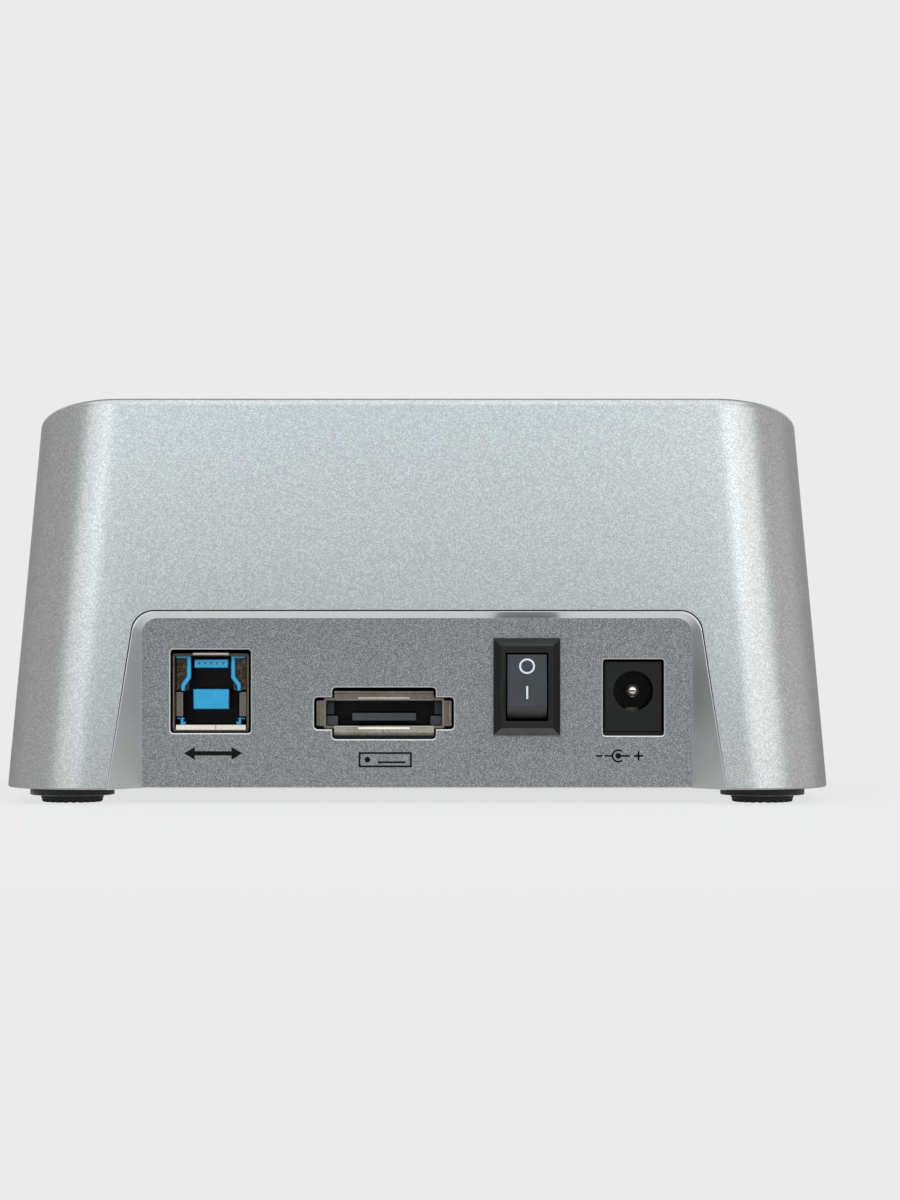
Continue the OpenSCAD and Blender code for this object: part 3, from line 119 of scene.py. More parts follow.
def srgb(red: int, green: int, blue: int) -> Colour:
    """Turns 8-bit display values into the linear colour that shaders take.

    Args:
        red: Red, 0 to 255.
        green: Green, 0 to 255.
        blue: Blue, 0 to 255.

    Returns:
        The linear colour, by the curve of the sRGB standard.
    """
    parts = []
    for value in (red, green, blue):
        share = value / 255.0
        parts.append(share / 12.92 if share <= 0.04045 else ((share + 0.055) / 1.055) ** 2.4)
    return (parts[0], parts[1], parts[2])


# Shader groups


@dataclass
class ShaderKit:
    """Makes the shared shader groups once and hands them out by name.

    A ratio is a scale beside the group's own, and a power says how rare the bright spots are.
    """

    flake_power: float = 3.0
    flake_share: float = 0.75
    flake_base: float = 0.1875
    noise_ratio: float = 1.3
    noise_share: float = 0.25
    broad_ratio: float = 0.08
    moulded_gain: float = 2.0
    brush_stretch: Triple = (1.0, 0.12, 1.0)
    tarnish_ratio: float = 0.05
    mote_ratio: float = 40.0
    mote_power: float = 4.0
    made: dict[str, Tree] = field(default_factory=dict)

    def group(self, texture: Texture) -> Tree:
        """Gives the group of a surface pattern, with outputs Tone and Height.

        Args:
            texture: The pattern wanted.

        Returns:
            The shader group, made on first use.
        """
        makers: dict[Texture, Callable[[], Tree]] = {
            Texture.SAND: self._sand,
            Texture.MOULDED: self._moulded,
            Texture.BRUSHED: self._brushed,
        }
        if texture.value not in self.made:
            self.made[texture.value] = makers[texture]()
        return self.made[texture.value]

    def handling(self) -> Tree:
        """Gives the group of soft smudges and settled dust, with outputs Smudge and Dust.

        Returns:
            The shader group, made on first use.
        """
        if "handling" not in self.made:
            self.made["handling"] = self._handling()
        return self.made["handling"]

    @staticmethod
    def _start(name: str, outputs: Sequence[str]) -> tuple[Tree, Node, Node]:
        """Makes an empty group with a Scale input and float outputs.

        Args:
            name: Name of the group.
            outputs: Names of its float outputs.

        Returns:
            The group, its input node and its output node.
        """
        tree = bpy.data.node_groups.new(name, "ShaderNodeTree")
        tree.interface.new_socket(name="Scale", in_out="INPUT", socket_type="NodeSocketFloat")
        for output in outputs:
            tree.interface.new_socket(name=output, in_out="OUTPUT", socket_type="NodeSocketFloat")
        return tree, tree.nodes.new("NodeGroupInput"), tree.nodes.new("NodeGroupOutput")

    @staticmethod
    def _math(tree: Tree, operation: str, first: object, second: object) -> Socket:
        """Adds one math node.

        Args:
            tree: Tree to add to.
            operation: Blender's name of the operation.
            first: Socket or number for the first input.
            second: Socket or number for the second input.

        Returns:
            The output socket.
        """
        node = tree.nodes.new("ShaderNodeMath")
        node.operation = operation
        for index, value in enumerate((first, second)):
            if isinstance(value, Socket):
                tree.links.new(value, node.inputs[index])
            else:
                node.inputs[index].default_value = value
        return node.outputs[0]

    def _sand(self) -> Tree:
        """Fine metallic sand: a few bright flakes with noise between them.

        Returns:
            The shader group.
        """
        tree, entry, leave = self._start(Texture.SAND.value, ("Tone", "Height"))
        coords = tree.nodes.new("ShaderNodeTexCoord")
        cells = tree.nodes.new("ShaderNodeTexVoronoi")
        noise = tree.nodes.new("ShaderNodeTexNoise")
        split = tree.nodes.new("ShaderNodeSeparateColor")
        noise.inputs["Detail"].default_value = 3.0
        noise.inputs["Roughness"].default_value = 0.65
        for texture in (cells, noise):
            tree.links.new(coords.outputs["Object"], texture.inputs["Vector"])
        tree.links.new(entry.outputs["Scale"], cells.inputs["Scale"])
        finer = self._math(tree, "MULTIPLY", entry.outputs["Scale"], self.noise_ratio)
        tree.links.new(finer, noise.inputs["Scale"])
        tree.links.new(cells.outputs["Color"], split.inputs[0])
        bright = self._math(tree, "POWER", split.outputs[0], self.flake_power)
        flakes = self._math(tree, "MULTIPLY_ADD", bright, self.flake_share)
        flakes.node.inputs[2].default_value = self.flake_base
        grain = self._math(tree, "MULTIPLY", noise.outputs[0], self.noise_share)
        tone = self._math(tree, "ADD", flakes, grain)
        height = self._math(tree, "SUBTRACT", noise.outputs[0], cells.outputs["Distance"])
        tree.links.new(tone, leave.inputs["Tone"])
        tree.links.new(height, leave.inputs["Height"])
        return tree

    def _moulded(self) -> Tree:
        """Spark-eroded plastic skin: two sizes of fine noise.

        Returns:
            The shader group.
        """
        tree, entry, leave = self._start(Texture.MOULDED.value, ("Tone", "Height"))
        coords = tree.nodes.new("ShaderNodeTexCoord")
        fine = tree.nodes.new("ShaderNodeTexNoise")
        broad = tree.nodes.new("ShaderNodeTexNoise")
        fine.inputs["Detail"].default_value = 2.0
        broad.inputs["Detail"].default_value = 4.0
        for texture in (fine, broad):
            tree.links.new(coords.outputs["Object"], texture.inputs["Vector"])
        tree.links.new(entry.outputs["Scale"], fine.inputs["Scale"])
        coarser = self._math(tree, "MULTIPLY", entry.outputs["Scale"], self.broad_ratio)
        tree.links.new(coarser, broad.inputs["Scale"])
        mixed = self._math(tree, "MULTIPLY", fine.outputs[0], broad.outputs[0])
        tree.links.new(self._math(tree, "MULTIPLY", mixed, self.moulded_gain), leave.inputs["Tone"])
        tree.links.new(fine.outputs[0], leave.inputs["Height"])
        return tree

    def _brushed(self) -> Tree:
        """Drawn metal: noise stretched along Y, with a little broad tarnish.

        Returns:
            The shader group.
        """
        tree, entry, leave = self._start(Texture.BRUSHED.value, ("Tone", "Height"))
        coords = tree.nodes.new("ShaderNodeTexCoord")
        stretch = tree.nodes.new("ShaderNodeVectorMath")
        stretch.operation = "MULTIPLY"
        stretch.inputs[1].default_value = self.brush_stretch
        lines = tree.nodes.new("ShaderNodeTexNoise")
        lines.inputs["Detail"].default_value = 4.0
        tarnish = tree.nodes.new("ShaderNodeTexNoise")
        tree.links.new(coords.outputs["Object"], stretch.inputs[0])
        tree.links.new(stretch.outputs[0], lines.inputs["Vector"])
        tree.links.new(coords.outputs["Object"], tarnish.inputs["Vector"])
        tree.links.new(entry.outputs["Scale"], lines.inputs["Scale"])
        coarser = self._math(tree, "MULTIPLY", entry.outputs["Scale"], self.tarnish_ratio)
        tree.links.new(coarser, tarnish.inputs["Scale"])
        both = self._math(tree, "ADD", lines.outputs[0], tarnish.outputs[0])
        tree.links.new(self._math(tree, "DIVIDE", both, 2.0), leave.inputs["Tone"])
        tree.links.new(lines.outputs[0], leave.inputs["Height"])
        return tree

    def _handling(self) -> Tree:
        """Broad soft smudges, and dust that settles on faces that look up.

        Returns:
            The shader group.
        """
        tree, entry, leave = self._start("handling", ("Smudge", "Dust"))
        coords = tree.nodes.new("ShaderNodeTexCoord")
        smear = tree.nodes.new("ShaderNodeTexNoise")
        smear.inputs["Detail"].default_value = 5.0
        motes = tree.nodes.new("ShaderNodeTexNoise")
        motes.inputs["Detail"].default_value = 2.0
        surface = tree.nodes.new("ShaderNodeNewGeometry")
        upward = tree.nodes.new("ShaderNodeSeparateXYZ")
        for texture in (smear, motes):
            tree.links.new(coords.outputs["Object"], texture.inputs["Vector"])
        tree.links.new(entry.outputs["Scale"], smear.inputs["Scale"])
        finer = self._math(tree, "MULTIPLY", entry.outputs["Scale"], self.mote_ratio)
        tree.links.new(finer, motes.inputs["Scale"])
        tree.links.new(surface.outputs["Normal"], upward.inputs[0])
        level = self._math(tree, "MAXIMUM", upward.outputs["Z"], 0.0)
        sparse = self._math(tree, "POWER", motes.outputs[0], self.mote_power)
        tree.links.new(smear.outputs[0], leave.inputs["Smudge"])
        tree.links.new(self._math(tree, "MULTIPLY", level, sparse), leave.inputs["Dust"])
        return tree


SHADERS = ShaderKit()


@dataclass(frozen=True)
class Finish:
    """One surface finish, built as a procedural material on first use."""

    name: str
    slot: str
    colour: Colour
    roughness: float
    metallic: float = 0.0
    texture: Texture = Texture.MOULDED
    grain: float = 0.25
    contrast: float = 0.12
    relief: float = 0.01
    bump: float = 0.3
    smudge: float = 0.08
    dust: float = 0.0
    specular: float = 0.5
    transmission: float = 0.0

    def material(self) -> Material:
        """Gives the material, made on first use."""
        known = bpy.data.materials.get(self.name)
        return known if known else self._build()

    def _build(self) -> Material:
        """Makes the material's nodes.

        Returns:
            The finished material.
        """
        material = bpy.data.materials.new(self.name)
        material.use_nodes = True
        material.diffuse_color = (*self.colour, 1.0)
        tree = material.node_tree
        shader = next(node for node in tree.nodes if node.type == "BSDF_PRINCIPLED")
        pattern = tree.nodes.new("ShaderNodeGroup")
        pattern.node_tree = SHADERS.group(self.texture)
        pattern.inputs["Scale"].default_value = 1.0 / (self.grain * MM)
        handling = tree.nodes.new("ShaderNodeGroup")
        handling.node_tree = SHADERS.handling()
        handling.inputs["Scale"].default_value = SMUDGE_SCALE
        self._colour(tree, shader, pattern, handling)
        self._gloss(tree, shader, handling)
        bump = tree.nodes.new("ShaderNodeBump")
        bump.inputs["Strength"].default_value = self.bump
        bump.inputs["Distance"].default_value = self.relief * MM
        tree.links.new(pattern.outputs["Height"], bump.inputs["Height"])
        tree.links.new(bump.outputs["Normal"], shader.inputs["Normal"])
        shader.inputs["Metallic"].default_value = self.metallic
        shader.inputs["Specular IOR Level"].default_value = self.specular
        shader.inputs["Transmission Weight"].default_value = self.transmission
        return material

    def _colour(self, tree: Tree, shader: Node, pattern: Node,
                handling: Node) -> None:
        """Varies the base colour by the pattern's tone and adds settled dust.

        Args:
            tree: The material's tree.
            shader: Its main shader.
            pattern: The pattern group.
            handling: The smudge and dust group.
        """
        dark = tuple(part * (1.0 - self.contrast) for part in self.colour)
        light = tuple(min(1.0, part * (1.0 + self.contrast)) for part in self.colour)
        ramp = tree.nodes.new("ShaderNodeValToRGB")
        for stop, position, colour in zip(ramp.color_ramp.elements, TONE_SPAN, (dark, light)):
            stop.position = position
            stop.color = (*colour, 1.0)
        tree.links.new(pattern.outputs["Tone"], ramp.inputs[0])
        source = ramp.outputs[0]
        if self.dust > 0.0:
            amount = tree.nodes.new("ShaderNodeMath")
            amount.operation = "MULTIPLY"
            amount.inputs[1].default_value = self.dust
            tree.links.new(handling.outputs["Dust"], amount.inputs[0])
            source = self._blend(tree, source, amount.outputs[0], DUST)
        tree.links.new(self._tint(tree, source), shader.inputs["Base Color"])

    @staticmethod
    def _blend(tree: Tree, source: Socket, amount: Socket,
               colour: Colour) -> Socket:
        """Blends a colour over another one.

        Args:
            tree: The material's tree.
            source: Colour below.
            amount: Share of the colour on top.
            colour: Colour on top.

        Returns:
            The blended colour.
        """
        # Sockets 6 and 7 are the two colours of this node, and output 2 is the blended one
        mix = tree.nodes.new("ShaderNodeMix")
        mix.data_type = "RGBA"
        mix.inputs[7].default_value = (*colour, 1.0)
        tree.links.new(amount, mix.inputs[0])
        tree.links.new(source, mix.inputs[6])
        return mix.outputs[2]

    def _tint(self, tree: Tree, source: Socket) -> Socket:
        """Lets a finish change colour from place to place, which a plain one doesn't."""
        return source

    def _gloss(self, tree: Tree, shader: Node, handling: Node) -> None:
        """Varies the roughness by broad smudges.

        Args:
            tree: The material's tree.
            shader: Its main shader.
            handling: The smudge and dust group.
        """
        spread = tree.nodes.new("ShaderNodeMapRange")
        spread.inputs["From Min"].default_value = SMUDGE_SPAN[0]
        spread.inputs["From Max"].default_value = SMUDGE_SPAN[1]
        spread.inputs["To Min"].default_value = max(LEAST_ROUGHNESS, self.roughness - self.smudge)
        spread.inputs["To Max"].default_value = min(1.0, self.roughness + self.smudge)
        tree.links.new(handling.outputs["Smudge"], spread.inputs["Value"])
        tree.links.new(spread.outputs[0], shader.inputs["Roughness"])


@dataclass(frozen=True)
class DepthShadeFinish(Finish):
    """A finish with painted shade: it turns dark along Y, from the mouth of a socket to its depth."""

    mouth: float = 38.0
    depth: float = 35.0
    # Colour of the painted shade deep in the socket
    deep: Colour = (0.003, 0.003, 0.004)

    def _tint(self, tree: Tree, source: Socket) -> Socket:
        """Blends in the deep colour, as painted shade, behind the mouth.

        Args:
            tree: The material's tree.
            source: Colour so far.

        Returns:
            The changed colour.
        """
        coords = tree.nodes.new("ShaderNodeTexCoord")
        split = tree.nodes.new("ShaderNodeSeparateXYZ")
        reach = tree.nodes.new("ShaderNodeMapRange")
        reach.inputs["From Min"].default_value = self.mouth * MM
        reach.inputs["From Max"].default_value = self.depth * MM
        tree.links.new(coords.outputs["Object"], split.inputs[0])
        tree.links.new(split.outputs["Y"], reach.inputs["Value"])
        return self._blend(tree, source, reach.outputs[0], self.deep)


@dataclass(frozen=True)
class TableGlintFinish(Finish):
    """A finish with a painted reflection of the table: paler where its face looks down at the table by a
    set amount.
    """

    # Colour of the painted reflection of the table
    table_glint: Colour = (0.8, 0.8, 0.8)
    level: float = -0.7
    spread: float = 0.7

    def _tint(self, tree: Tree, source: Socket) -> Socket:
        """Blends in the painted reflection's colour by how near the face's tilt is to the level.

        Args:
            tree: The material's tree.
            source: Colour so far.

        Returns:
            The changed colour.
        """
        surface = tree.nodes.new("ShaderNodeNewGeometry")
        split = tree.nodes.new("ShaderNodeSeparateXYZ")
        apart = tree.nodes.new("ShaderNodeMath")
        apart.operation = "SUBTRACT"
        apart.inputs[1].default_value = self.level
        size = tree.nodes.new("ShaderNodeMath")
        size.operation = "ABSOLUTE"
        reach = tree.nodes.new("ShaderNodeMapRange")
        reach.inputs["From Min"].default_value = self.spread
        reach.inputs["From Max"].default_value = 0.0
        tree.links.new(surface.outputs["Normal"], split.inputs[0])
        tree.links.new(split.outputs["Z"], apart.inputs[0])
        tree.links.new(apart.outputs[0], size.inputs[0])
        tree.links.new(size.outputs[0], reach.inputs["Value"])
        return self._blend(tree, source, reach.outputs[0], self.table_glint)


@dataclass(frozen=True)
class RimFinish(Finish):
    """A paint that is dark along the crest of the rim, as a painted dark reflection, and shines less at a
    glancing angle.
    """

    # Colour of the painted dark reflection on faces that look up
    crest: Colour = (0.08, 0.08, 0.08)
    start: float = 0.8
    full: float = 0.96
    glance: float = 0.6

    def _build(self) -> Material:
        """Makes the material and sets how much it shines at a glancing angle.

        Returns:
            The finished material.
        """
        material = super()._build()
        shader = next(node for node in material.node_tree.nodes if node.type == "BSDF_PRINCIPLED")
        shader.inputs["Specular Tint"].default_value = (self.glance, self.glance, self.glance, 1.0)
        return material

    def _tint(self, tree: Tree, source: Socket) -> Socket:
        """Blends in the crest's colour, a painted dark reflection, by how far the face looks up.

        Args:
            tree: The material's tree.
            source: Colour so far.

        Returns:
            The changed colour.
        """
        surface = tree.nodes.new("ShaderNodeNewGeometry")
        split = tree.nodes.new("ShaderNodeSeparateXYZ")
        reach = tree.nodes.new("ShaderNodeMapRange")
        reach.inputs["From Min"].default_value = self.start
        reach.inputs["From Max"].default_value = self.full
        tree.links.new(surface.outputs["Normal"], split.inputs[0])
        tree.links.new(split.outputs["Z"], reach.inputs["Value"])
        return self._blend(tree, source, reach.outputs[0], self.crest)


@dataclass(frozen=True)
class Palette:
    """Every finish on the part."""

    # Shell paint, with a painted dark reflection along the crest of its rim
    shell: Finish = RimFinish(
        "shell_paint", "shell_silver", srgb(163, 164, 163), 0.3, metallic=0.92, texture=Texture.SAND,
        grain=0.15, contrast=0.2, relief=0.006, bump=0.5, smudge=0.008, dust=0.1)
    # The flare and the panel face are one moulding in one paint: the flare's paler base colour is painted
    # light, and its faces that look down carry a near-white painted reflection of the table
    flare: Finish = TableGlintFinish(
        "flare_satin", "panel_silver", srgb(186, 188, 188), 0.33, metallic=0.92, texture=Texture.SAND,
        grain=0.2, contrast=0.03, relief=0.004, bump=0.2, smudge=0.03, table_glint=srgb(252, 253, 253))
    # The panel face: the flare's paint, darker as painted shade
    panel: Finish = Finish(
        "panel_paint", "panel_silver", srgb(139, 140, 141), 0.42, metallic=0.85, texture=Texture.SAND,
        grain=0.1, contrast=0.52, relief=0.008, bump=0.5, smudge=0.03)
    # Chamfers round the openings: the panel's paint made pale, as a painted highlight
    edge: Finish = Finish(
        "panel_edge", "panel_silver", srgb(216, 218, 218), 0.3, metallic=0.5, texture=Texture.SAND,
        grain=0.2, contrast=0.05, relief=0.004, bump=0.2, smudge=0.03)
    dark: Finish = Finish(
        "dark_moulding", "dark_plastic", srgb(30, 31, 33), 0.42, grain=0.3, contrast=0.25, relief=0.02,
        bump=0.5, dust=0.2, specular=0.35)
    # Base moulding with a pale painted reflection of the table on the lower edges of the feet's bosses
    base: Finish = TableGlintFinish(
        "base_moulding", "base_plastic", srgb(34, 35, 36), 0.48, grain=0.35, contrast=0.25, relief=0.02,
        bump=0.5, specular=0.35, table_glint=srgb(196, 199, 192), spread=0.25)
    rubber: Finish = Finish(
        "pad_rubber", "pad_rubber", srgb(26, 26, 27), 0.7, grain=0.4, contrast=0.3, relief=0.03,
        bump=0.6, specular=0.25)
    button: Finish = Finish(
        "button_paint", "button_silver", srgb(158, 160, 161), 0.32, metallic=0.9, texture=Texture.SAND,
        grain=0.25, contrast=0.06, relief=0.01, bump=0.35, smudge=0.04, dust=0.1)
    lever: Finish = Finish("lever_moulding", "lever_plastic", srgb(216, 214, 205), 0.45, contrast=0.1)
    spring: Finish = Finish(
        "spring_wire", "spring_steel", srgb(150, 152, 154), 0.28, metallic=1.0, texture=Texture.BRUSHED,
        grain=0.1, contrast=0.2, relief=0.004)
    zinc: Finish = Finish(
        "zinc_plate", "screw_zinc", srgb(176, 176, 172), 0.34, metallic=1.0, texture=Texture.BRUSHED,
        grain=0.15, contrast=0.22, relief=0.005)
    clear: Finish = Finish(
        "light_guide", "clear_plastic", srgb(226, 233, 240), 0.16, grain=0.5, contrast=0.04,
        relief=0.004, bump=0.2, smudge=0.05, transmission=0.7)
    # Board with painted shade along its rear edge, where it shows through the openings
    board: Finish = DepthShadeFinish(
        "solder_mask", "board_mask", srgb(24, 82, 48), 0.38, grain=1.2, contrast=0.35, relief=0.02,
        bump=0.4, mouth=35.0, depth=36.0)
    socket: Finish = Finish(
        "socket_nylon", "socket_black", srgb(24, 24, 26), 0.44, contrast=0.25, specular=0.35)
    gold: Finish = Finish(
        "contact_plate", "contact_gold", srgb(214, 176, 92), 0.24, metallic=1.0,
        texture=Texture.BRUSHED, grain=0.08, contrast=0.15, relief=0.003)
    # Contacts with painted shade deeper in the socket
    deep_gold: Finish = DepthShadeFinish(
        "deep_contact", "contact_gold", srgb(206, 170, 92), 0.26, metallic=1.0, texture=Texture.BRUSHED,
        grain=0.08, contrast=0.15, relief=0.003, mouth=37.2, depth=36.2, deep=(0.02, 0.014, 0.006))
    # Socket shell with painted shade inside, behind its front
    nickel: Finish = DepthShadeFinish(
        "folded_nickel", "connector_metal", srgb(78, 74, 66), 0.3, metallic=1.0,
        texture=Texture.BRUSHED, grain=0.3, contrast=0.3, relief=0.005, mouth=38.05, depth=37.5,
        deep=srgb(34, 31, 27))
    bronze: Finish = Finish(
        "aged_nickel", "connector_metal", srgb(117, 112, 103), 0.3, metallic=1.0,
        texture=Texture.BRUSHED, grain=0.4, contrast=0.5, relief=0.008, bump=0.4)
    # Dark mottled metal for the plates in the square socket's upper corners, standing for the shell's inner
    # walls there: its darkness is painted shade
    tarnish: Finish = Finish(
        "tarnished_nickel", "connector_metal", srgb(76, 67, 56), 0.32, metallic=1.0,
        texture=Texture.SAND, grain=0.22, contrast=0.6, relief=0.02, bump=0.5)
    worn: Finish = Finish(
        "worn_edge", "connector_metal", srgb(150, 146, 134), 0.3, metallic=1.0, texture=Texture.BRUSHED,
        grain=0.3, contrast=0.25, relief=0.005)
    sill: Finish = Finish(
        "folded_sill", "connector_metal", srgb(194, 186, 171), 0.36, metallic=0.9,
        texture=Texture.BRUSHED, grain=0.4, contrast=0.14, relief=0.006)
    cream: Finish = Finish(
        "bright_nickel", "connector_metal", srgb(214, 207, 192), 0.3, metallic=0.9,
        texture=Texture.BRUSHED, grain=0.3, contrast=0.08, relief=0.004)
    # Blue insulator with painted shade, near black, deeper in the socket
    blue: Finish = DepthShadeFinish(
        "socket_blue", "usb_blue", srgb(53, 160, 206), 0.36, grain=0.2, contrast=0.08, relief=0.006,
        specular=0.2, mouth=36.9, depth=36.1, deep=(0.002, 0.004, 0.009))
    # Contact blade with painted shade deeper in the socket
    slate: Finish = DepthShadeFinish(
        "blade_nylon", "blade_slate", srgb(60, 64, 68), 0.4, grain=0.2, contrast=0.15, relief=0.006,
        specular=0.3, mouth=36.3, depth=34.5, deep=(0.002, 0.002, 0.003))
    # Inlet with painted shade inside its bore
    inlet: Finish = DepthShadeFinish(
        "inlet_nylon", "inlet_black", srgb(23, 24, 24), 0.36, contrast=0.25, relief=0.008, bump=0.35,
        specular=0.22, mouth=37.45, depth=36.7, deep=(0.0022, 0.0014, 0.0012))
    switch: Finish = Finish(
        "switch_nylon", "switch_black", srgb(15, 15, 16), 0.34, contrast=0.2, relief=0.008, bump=0.35,
        specular=0.3)
    # Paler copies of the switch's black, for faces that look down: a painted reflection of the table
    bezel_foot: Finish = Finish(
        "bezel_foot", "switch_black", srgb(80, 78, 76), 0.4, contrast=0.2, relief=0.008, bump=0.35,
        specular=0.3)
    rocker_end: Finish = Finish(
        "rocker_end", "switch_black", srgb(84, 83, 80), 0.4, contrast=0.15, relief=0.008, specular=0.3)
    rocker: Finish = Finish(
        "rocker_nylon", "switch_black", srgb(41, 44, 48), 0.36, grain=0.2, contrast=0.15, relief=0.008,
        specular=0.35)
    wire: Finish = Finish(
        "wire_skin", "wire_red", srgb(150, 30, 28), 0.4, grain=0.3, contrast=0.12, relief=0.006)
    ivory: Finish = Finish(
        "header_nylon", "header_ivory", srgb(228, 220, 196), 0.45, contrast=0.08, relief=0.006)
    chip: Finish = Finish(
        "chip_epoxy", "chip_black", srgb(33, 33, 35), 0.5, grain=0.15, contrast=0.25, bump=0.4)
    can: Finish = Finish(
        "drawn_can", "can_silver", srgb(190, 193, 195), 0.24, metallic=1.0, texture=Texture.BRUSHED,
        grain=0.12, contrast=0.12, relief=0.004)
    ferrite: Finish = Finish(
        "ferrite_block", "ferrite_grey", srgb(72, 72, 74), 0.6, grain=0.3, contrast=0.25, relief=0.02,
        bump=0.5)
    ceramic: Finish = Finish(
        "ceramic_body", "ceramic_tan", srgb(178, 146, 108), 0.45, grain=0.2, contrast=0.15)
    led: Finish = Finish("led_body", "led_white", srgb(236, 234, 226), 0.4, grain=0.2, contrast=0.06)
    ink_white: Finish = Finish(
        "white_print", "switch_black", srgb(206, 217, 222), 0.5, grain=0.12, contrast=0.06)
    ink_black: Finish = Finish(
        "black_print", "panel_silver", srgb(10, 10, 11), 0.7, grain=0.12, contrast=0.15, specular=0.12)


PALETTE = Palette()


# Mesh helpers


def linked(name: str, mesh: bpy.types.Mesh) -> Object:
    """Makes an object at the origin and links it to the scene.

    Args:
        name: Name of the object.
        mesh: Its mesh.

    Returns:
        The new object.
    """
    made = bpy.data.objects.new(name, mesh)
    bpy.context.scene.collection.objects.link(made)
    return made


def from_bmesh(name: str, bm: bmesh.types.BMesh) -> Object:
    """Welds a bmesh, turns its normals outward and makes an object of it.

    Args:
        name: Name of the object.
        bm: The mesh, which is freed.

    Returns:
        The new object.
    """
    bmesh.ops.remove_doubles(bm, verts=bm.verts, dist=WELD)
    bmesh.ops.recalc_face_normals(bm, faces=bm.faces)
    mesh = bpy.data.meshes.new(name)
    bm.to_mesh(mesh)
    bm.free()
    return linked(name, mesh)


def bake(piece: Object) -> Object:
    """Applies every modifier of a piece and leaves a plain mesh.

    Args:
        piece: The piece to change.

    Returns:
        The same piece.
    """
    bpy.context.view_layer.update()
    graph = bpy.context.evaluated_depsgraph_get()
    mesh = bpy.data.meshes.new_from_object(piece.evaluated_get(graph))
    piece.modifiers.clear()
    old = piece.data
    piece.data = mesh
    if old.users == 0:
        bpy.data.meshes.remove(old)
    mesh.name = piece.name
    return piece


def cut(piece: Object, tools: Iterable[Object], operation: str = "DIFFERENCE") -> Object:
    """Applies booleans with closed tools, which are then removed.

    Args:
        piece: The piece to change.
        tools: Closed meshes.
        operation: DIFFERENCE, INTERSECT or UNION.

    Returns:
        The changed piece.
    """
    for tool in tools:
        modifier = piece.modifiers.new("cut", "BOOLEAN")
        modifier.operation = operation
        modifier.solver = "EXACT"
        modifier.object = tool
        bake(piece)
        bpy.data.objects.remove(tool)
    return piece


def soften(piece: Object, width: float, segments: int = 2, angle: float = 30.0,
           clamp: bool = True, ahead: float | None = None) -> Object:
    """Rounds the edges of a piece and shades it smooth between sharp ones.

    Args:
        piece: The piece to change.
        width: Width of the rounding.
        segments: Steps across it.
        angle: Edges that turn by more than this are rounded, in degrees.
        clamp: True narrows the rounding until no two edges can meet.
        ahead: Only edges in front of this depth are rounded, where it is given.

    Returns:
        The changed piece.
    """
    limit = math.radians(angle)
    piece.data.shade_smooth()
    piece.data.set_sharp_from_angle(angle=limit)
    modifier = piece.modifiers.new("edges", "BEVEL")
    modifier.width = width * MM
    modifier.segments = segments
    modifier.limit_method = "ANGLE"
    modifier.angle_limit = limit
    modifier.harden_normals = True
    modifier.use_clamp_overlap = clamp
    if ahead is not None:
        modifier.limit_method = "WEIGHT"
        weigh(piece, limit, ahead * MM)
    bake(piece)
    return piece


def weigh(piece: Object, limit: float, ahead: float) -> None:
    """Marks the sharp edges in front of a depth for rounding.

    Args:
        piece: The piece whose edges are marked.
        limit: Edges that turn by more than this are marked, in radians.
        ahead: The depth, in metres.
    """
    bm = bmesh.new()
    bm.from_mesh(piece.data)
    weight = bm.edges.layers.float.new("bevel_weight_edge")
    for edge in bm.edges:
        if edge.calc_face_angle(0.0) > limit and min(vert.co.y for vert in edge.verts) > ahead:
            edge[weight] = 1.0
    bm.to_mesh(piece.data)
    bm.free()


def shade(piece: Object, angle: float = 35.0) -> Object:
    """Shades a piece smooth, with sharper edges left crisp.

    Args:
        piece: The piece to change.
        angle: Edges that turn by more than this stay crisp, in degrees.

    Returns:
        The same piece.
    """
    piece.data.shade_smooth()
    piece.data.set_sharp_from_angle(angle=math.radians(angle))
    return piece


def ring_mesh(rings: Sequence[Sequence[Vector]], wrap: bool = False) -> bmesh.types.BMesh:
    """Skins closed rings of equal length, given in millimetres.

    Args:
        rings: Rings in order.
        wrap: True joins the last ring to the first, False caps both.

    Returns:
        A closed mesh in metres.
    """
    bm = bmesh.new()
    rows = [[bm.verts.new(Vector(point) * MM) for point in ring] for ring in rings]
    count = len(rows[0])
    pairs = list(zip(rows, rows[1:]))
    if wrap:
        pairs.append((rows[-1], rows[0]))
    else:
        bm.faces.new(rows[0])
        bm.faces.new(list(reversed(rows[-1])))
    for low, high in pairs:
        for index in range(count):
            after = (index + 1) % count
            bm.faces.new((low[index], low[after], high[after], high[index]))
    return bm


def prism(name: str, outline: Sequence[Point], start: float, stop: float) -> Object:
    """Extrudes an X-Z outline along Y.

    Args:
        name: Name of the object.
        outline: Points (x, z).
        start: Y of the first end.
        stop: Y of the other end.

    Returns:
        The closed solid.
    """
    rings = [[Vector((x, y, z)) for x, z in outline] for y in (start, stop)]
    return from_bmesh(name, ring_mesh(rings))


def block(name: str, low: Sequence[float], high: Sequence[float]) -> Object:
    """Makes a closed box between two corners."""
    outline = [(low[0], low[2]), (high[0], low[2]), (high[0], high[2]), (low[0], high[2])]
    return prism(name, outline, low[1], high[1])


def join(pieces: Sequence[Object]) -> Object:
    """Joins pieces into the first one, as separate shells of one mesh.

    Args:
        pieces: Pieces at the origin.

    Returns:
        The first piece, which now holds all of them.
    """
    bm = bmesh.new()
    for piece in pieces:
        bm.from_mesh(piece.data)
    bm.to_mesh(pieces[0].data)
    bm.free()
    for piece in pieces[1:]:
        bpy.data.objects.remove(piece)
    return pieces[0]


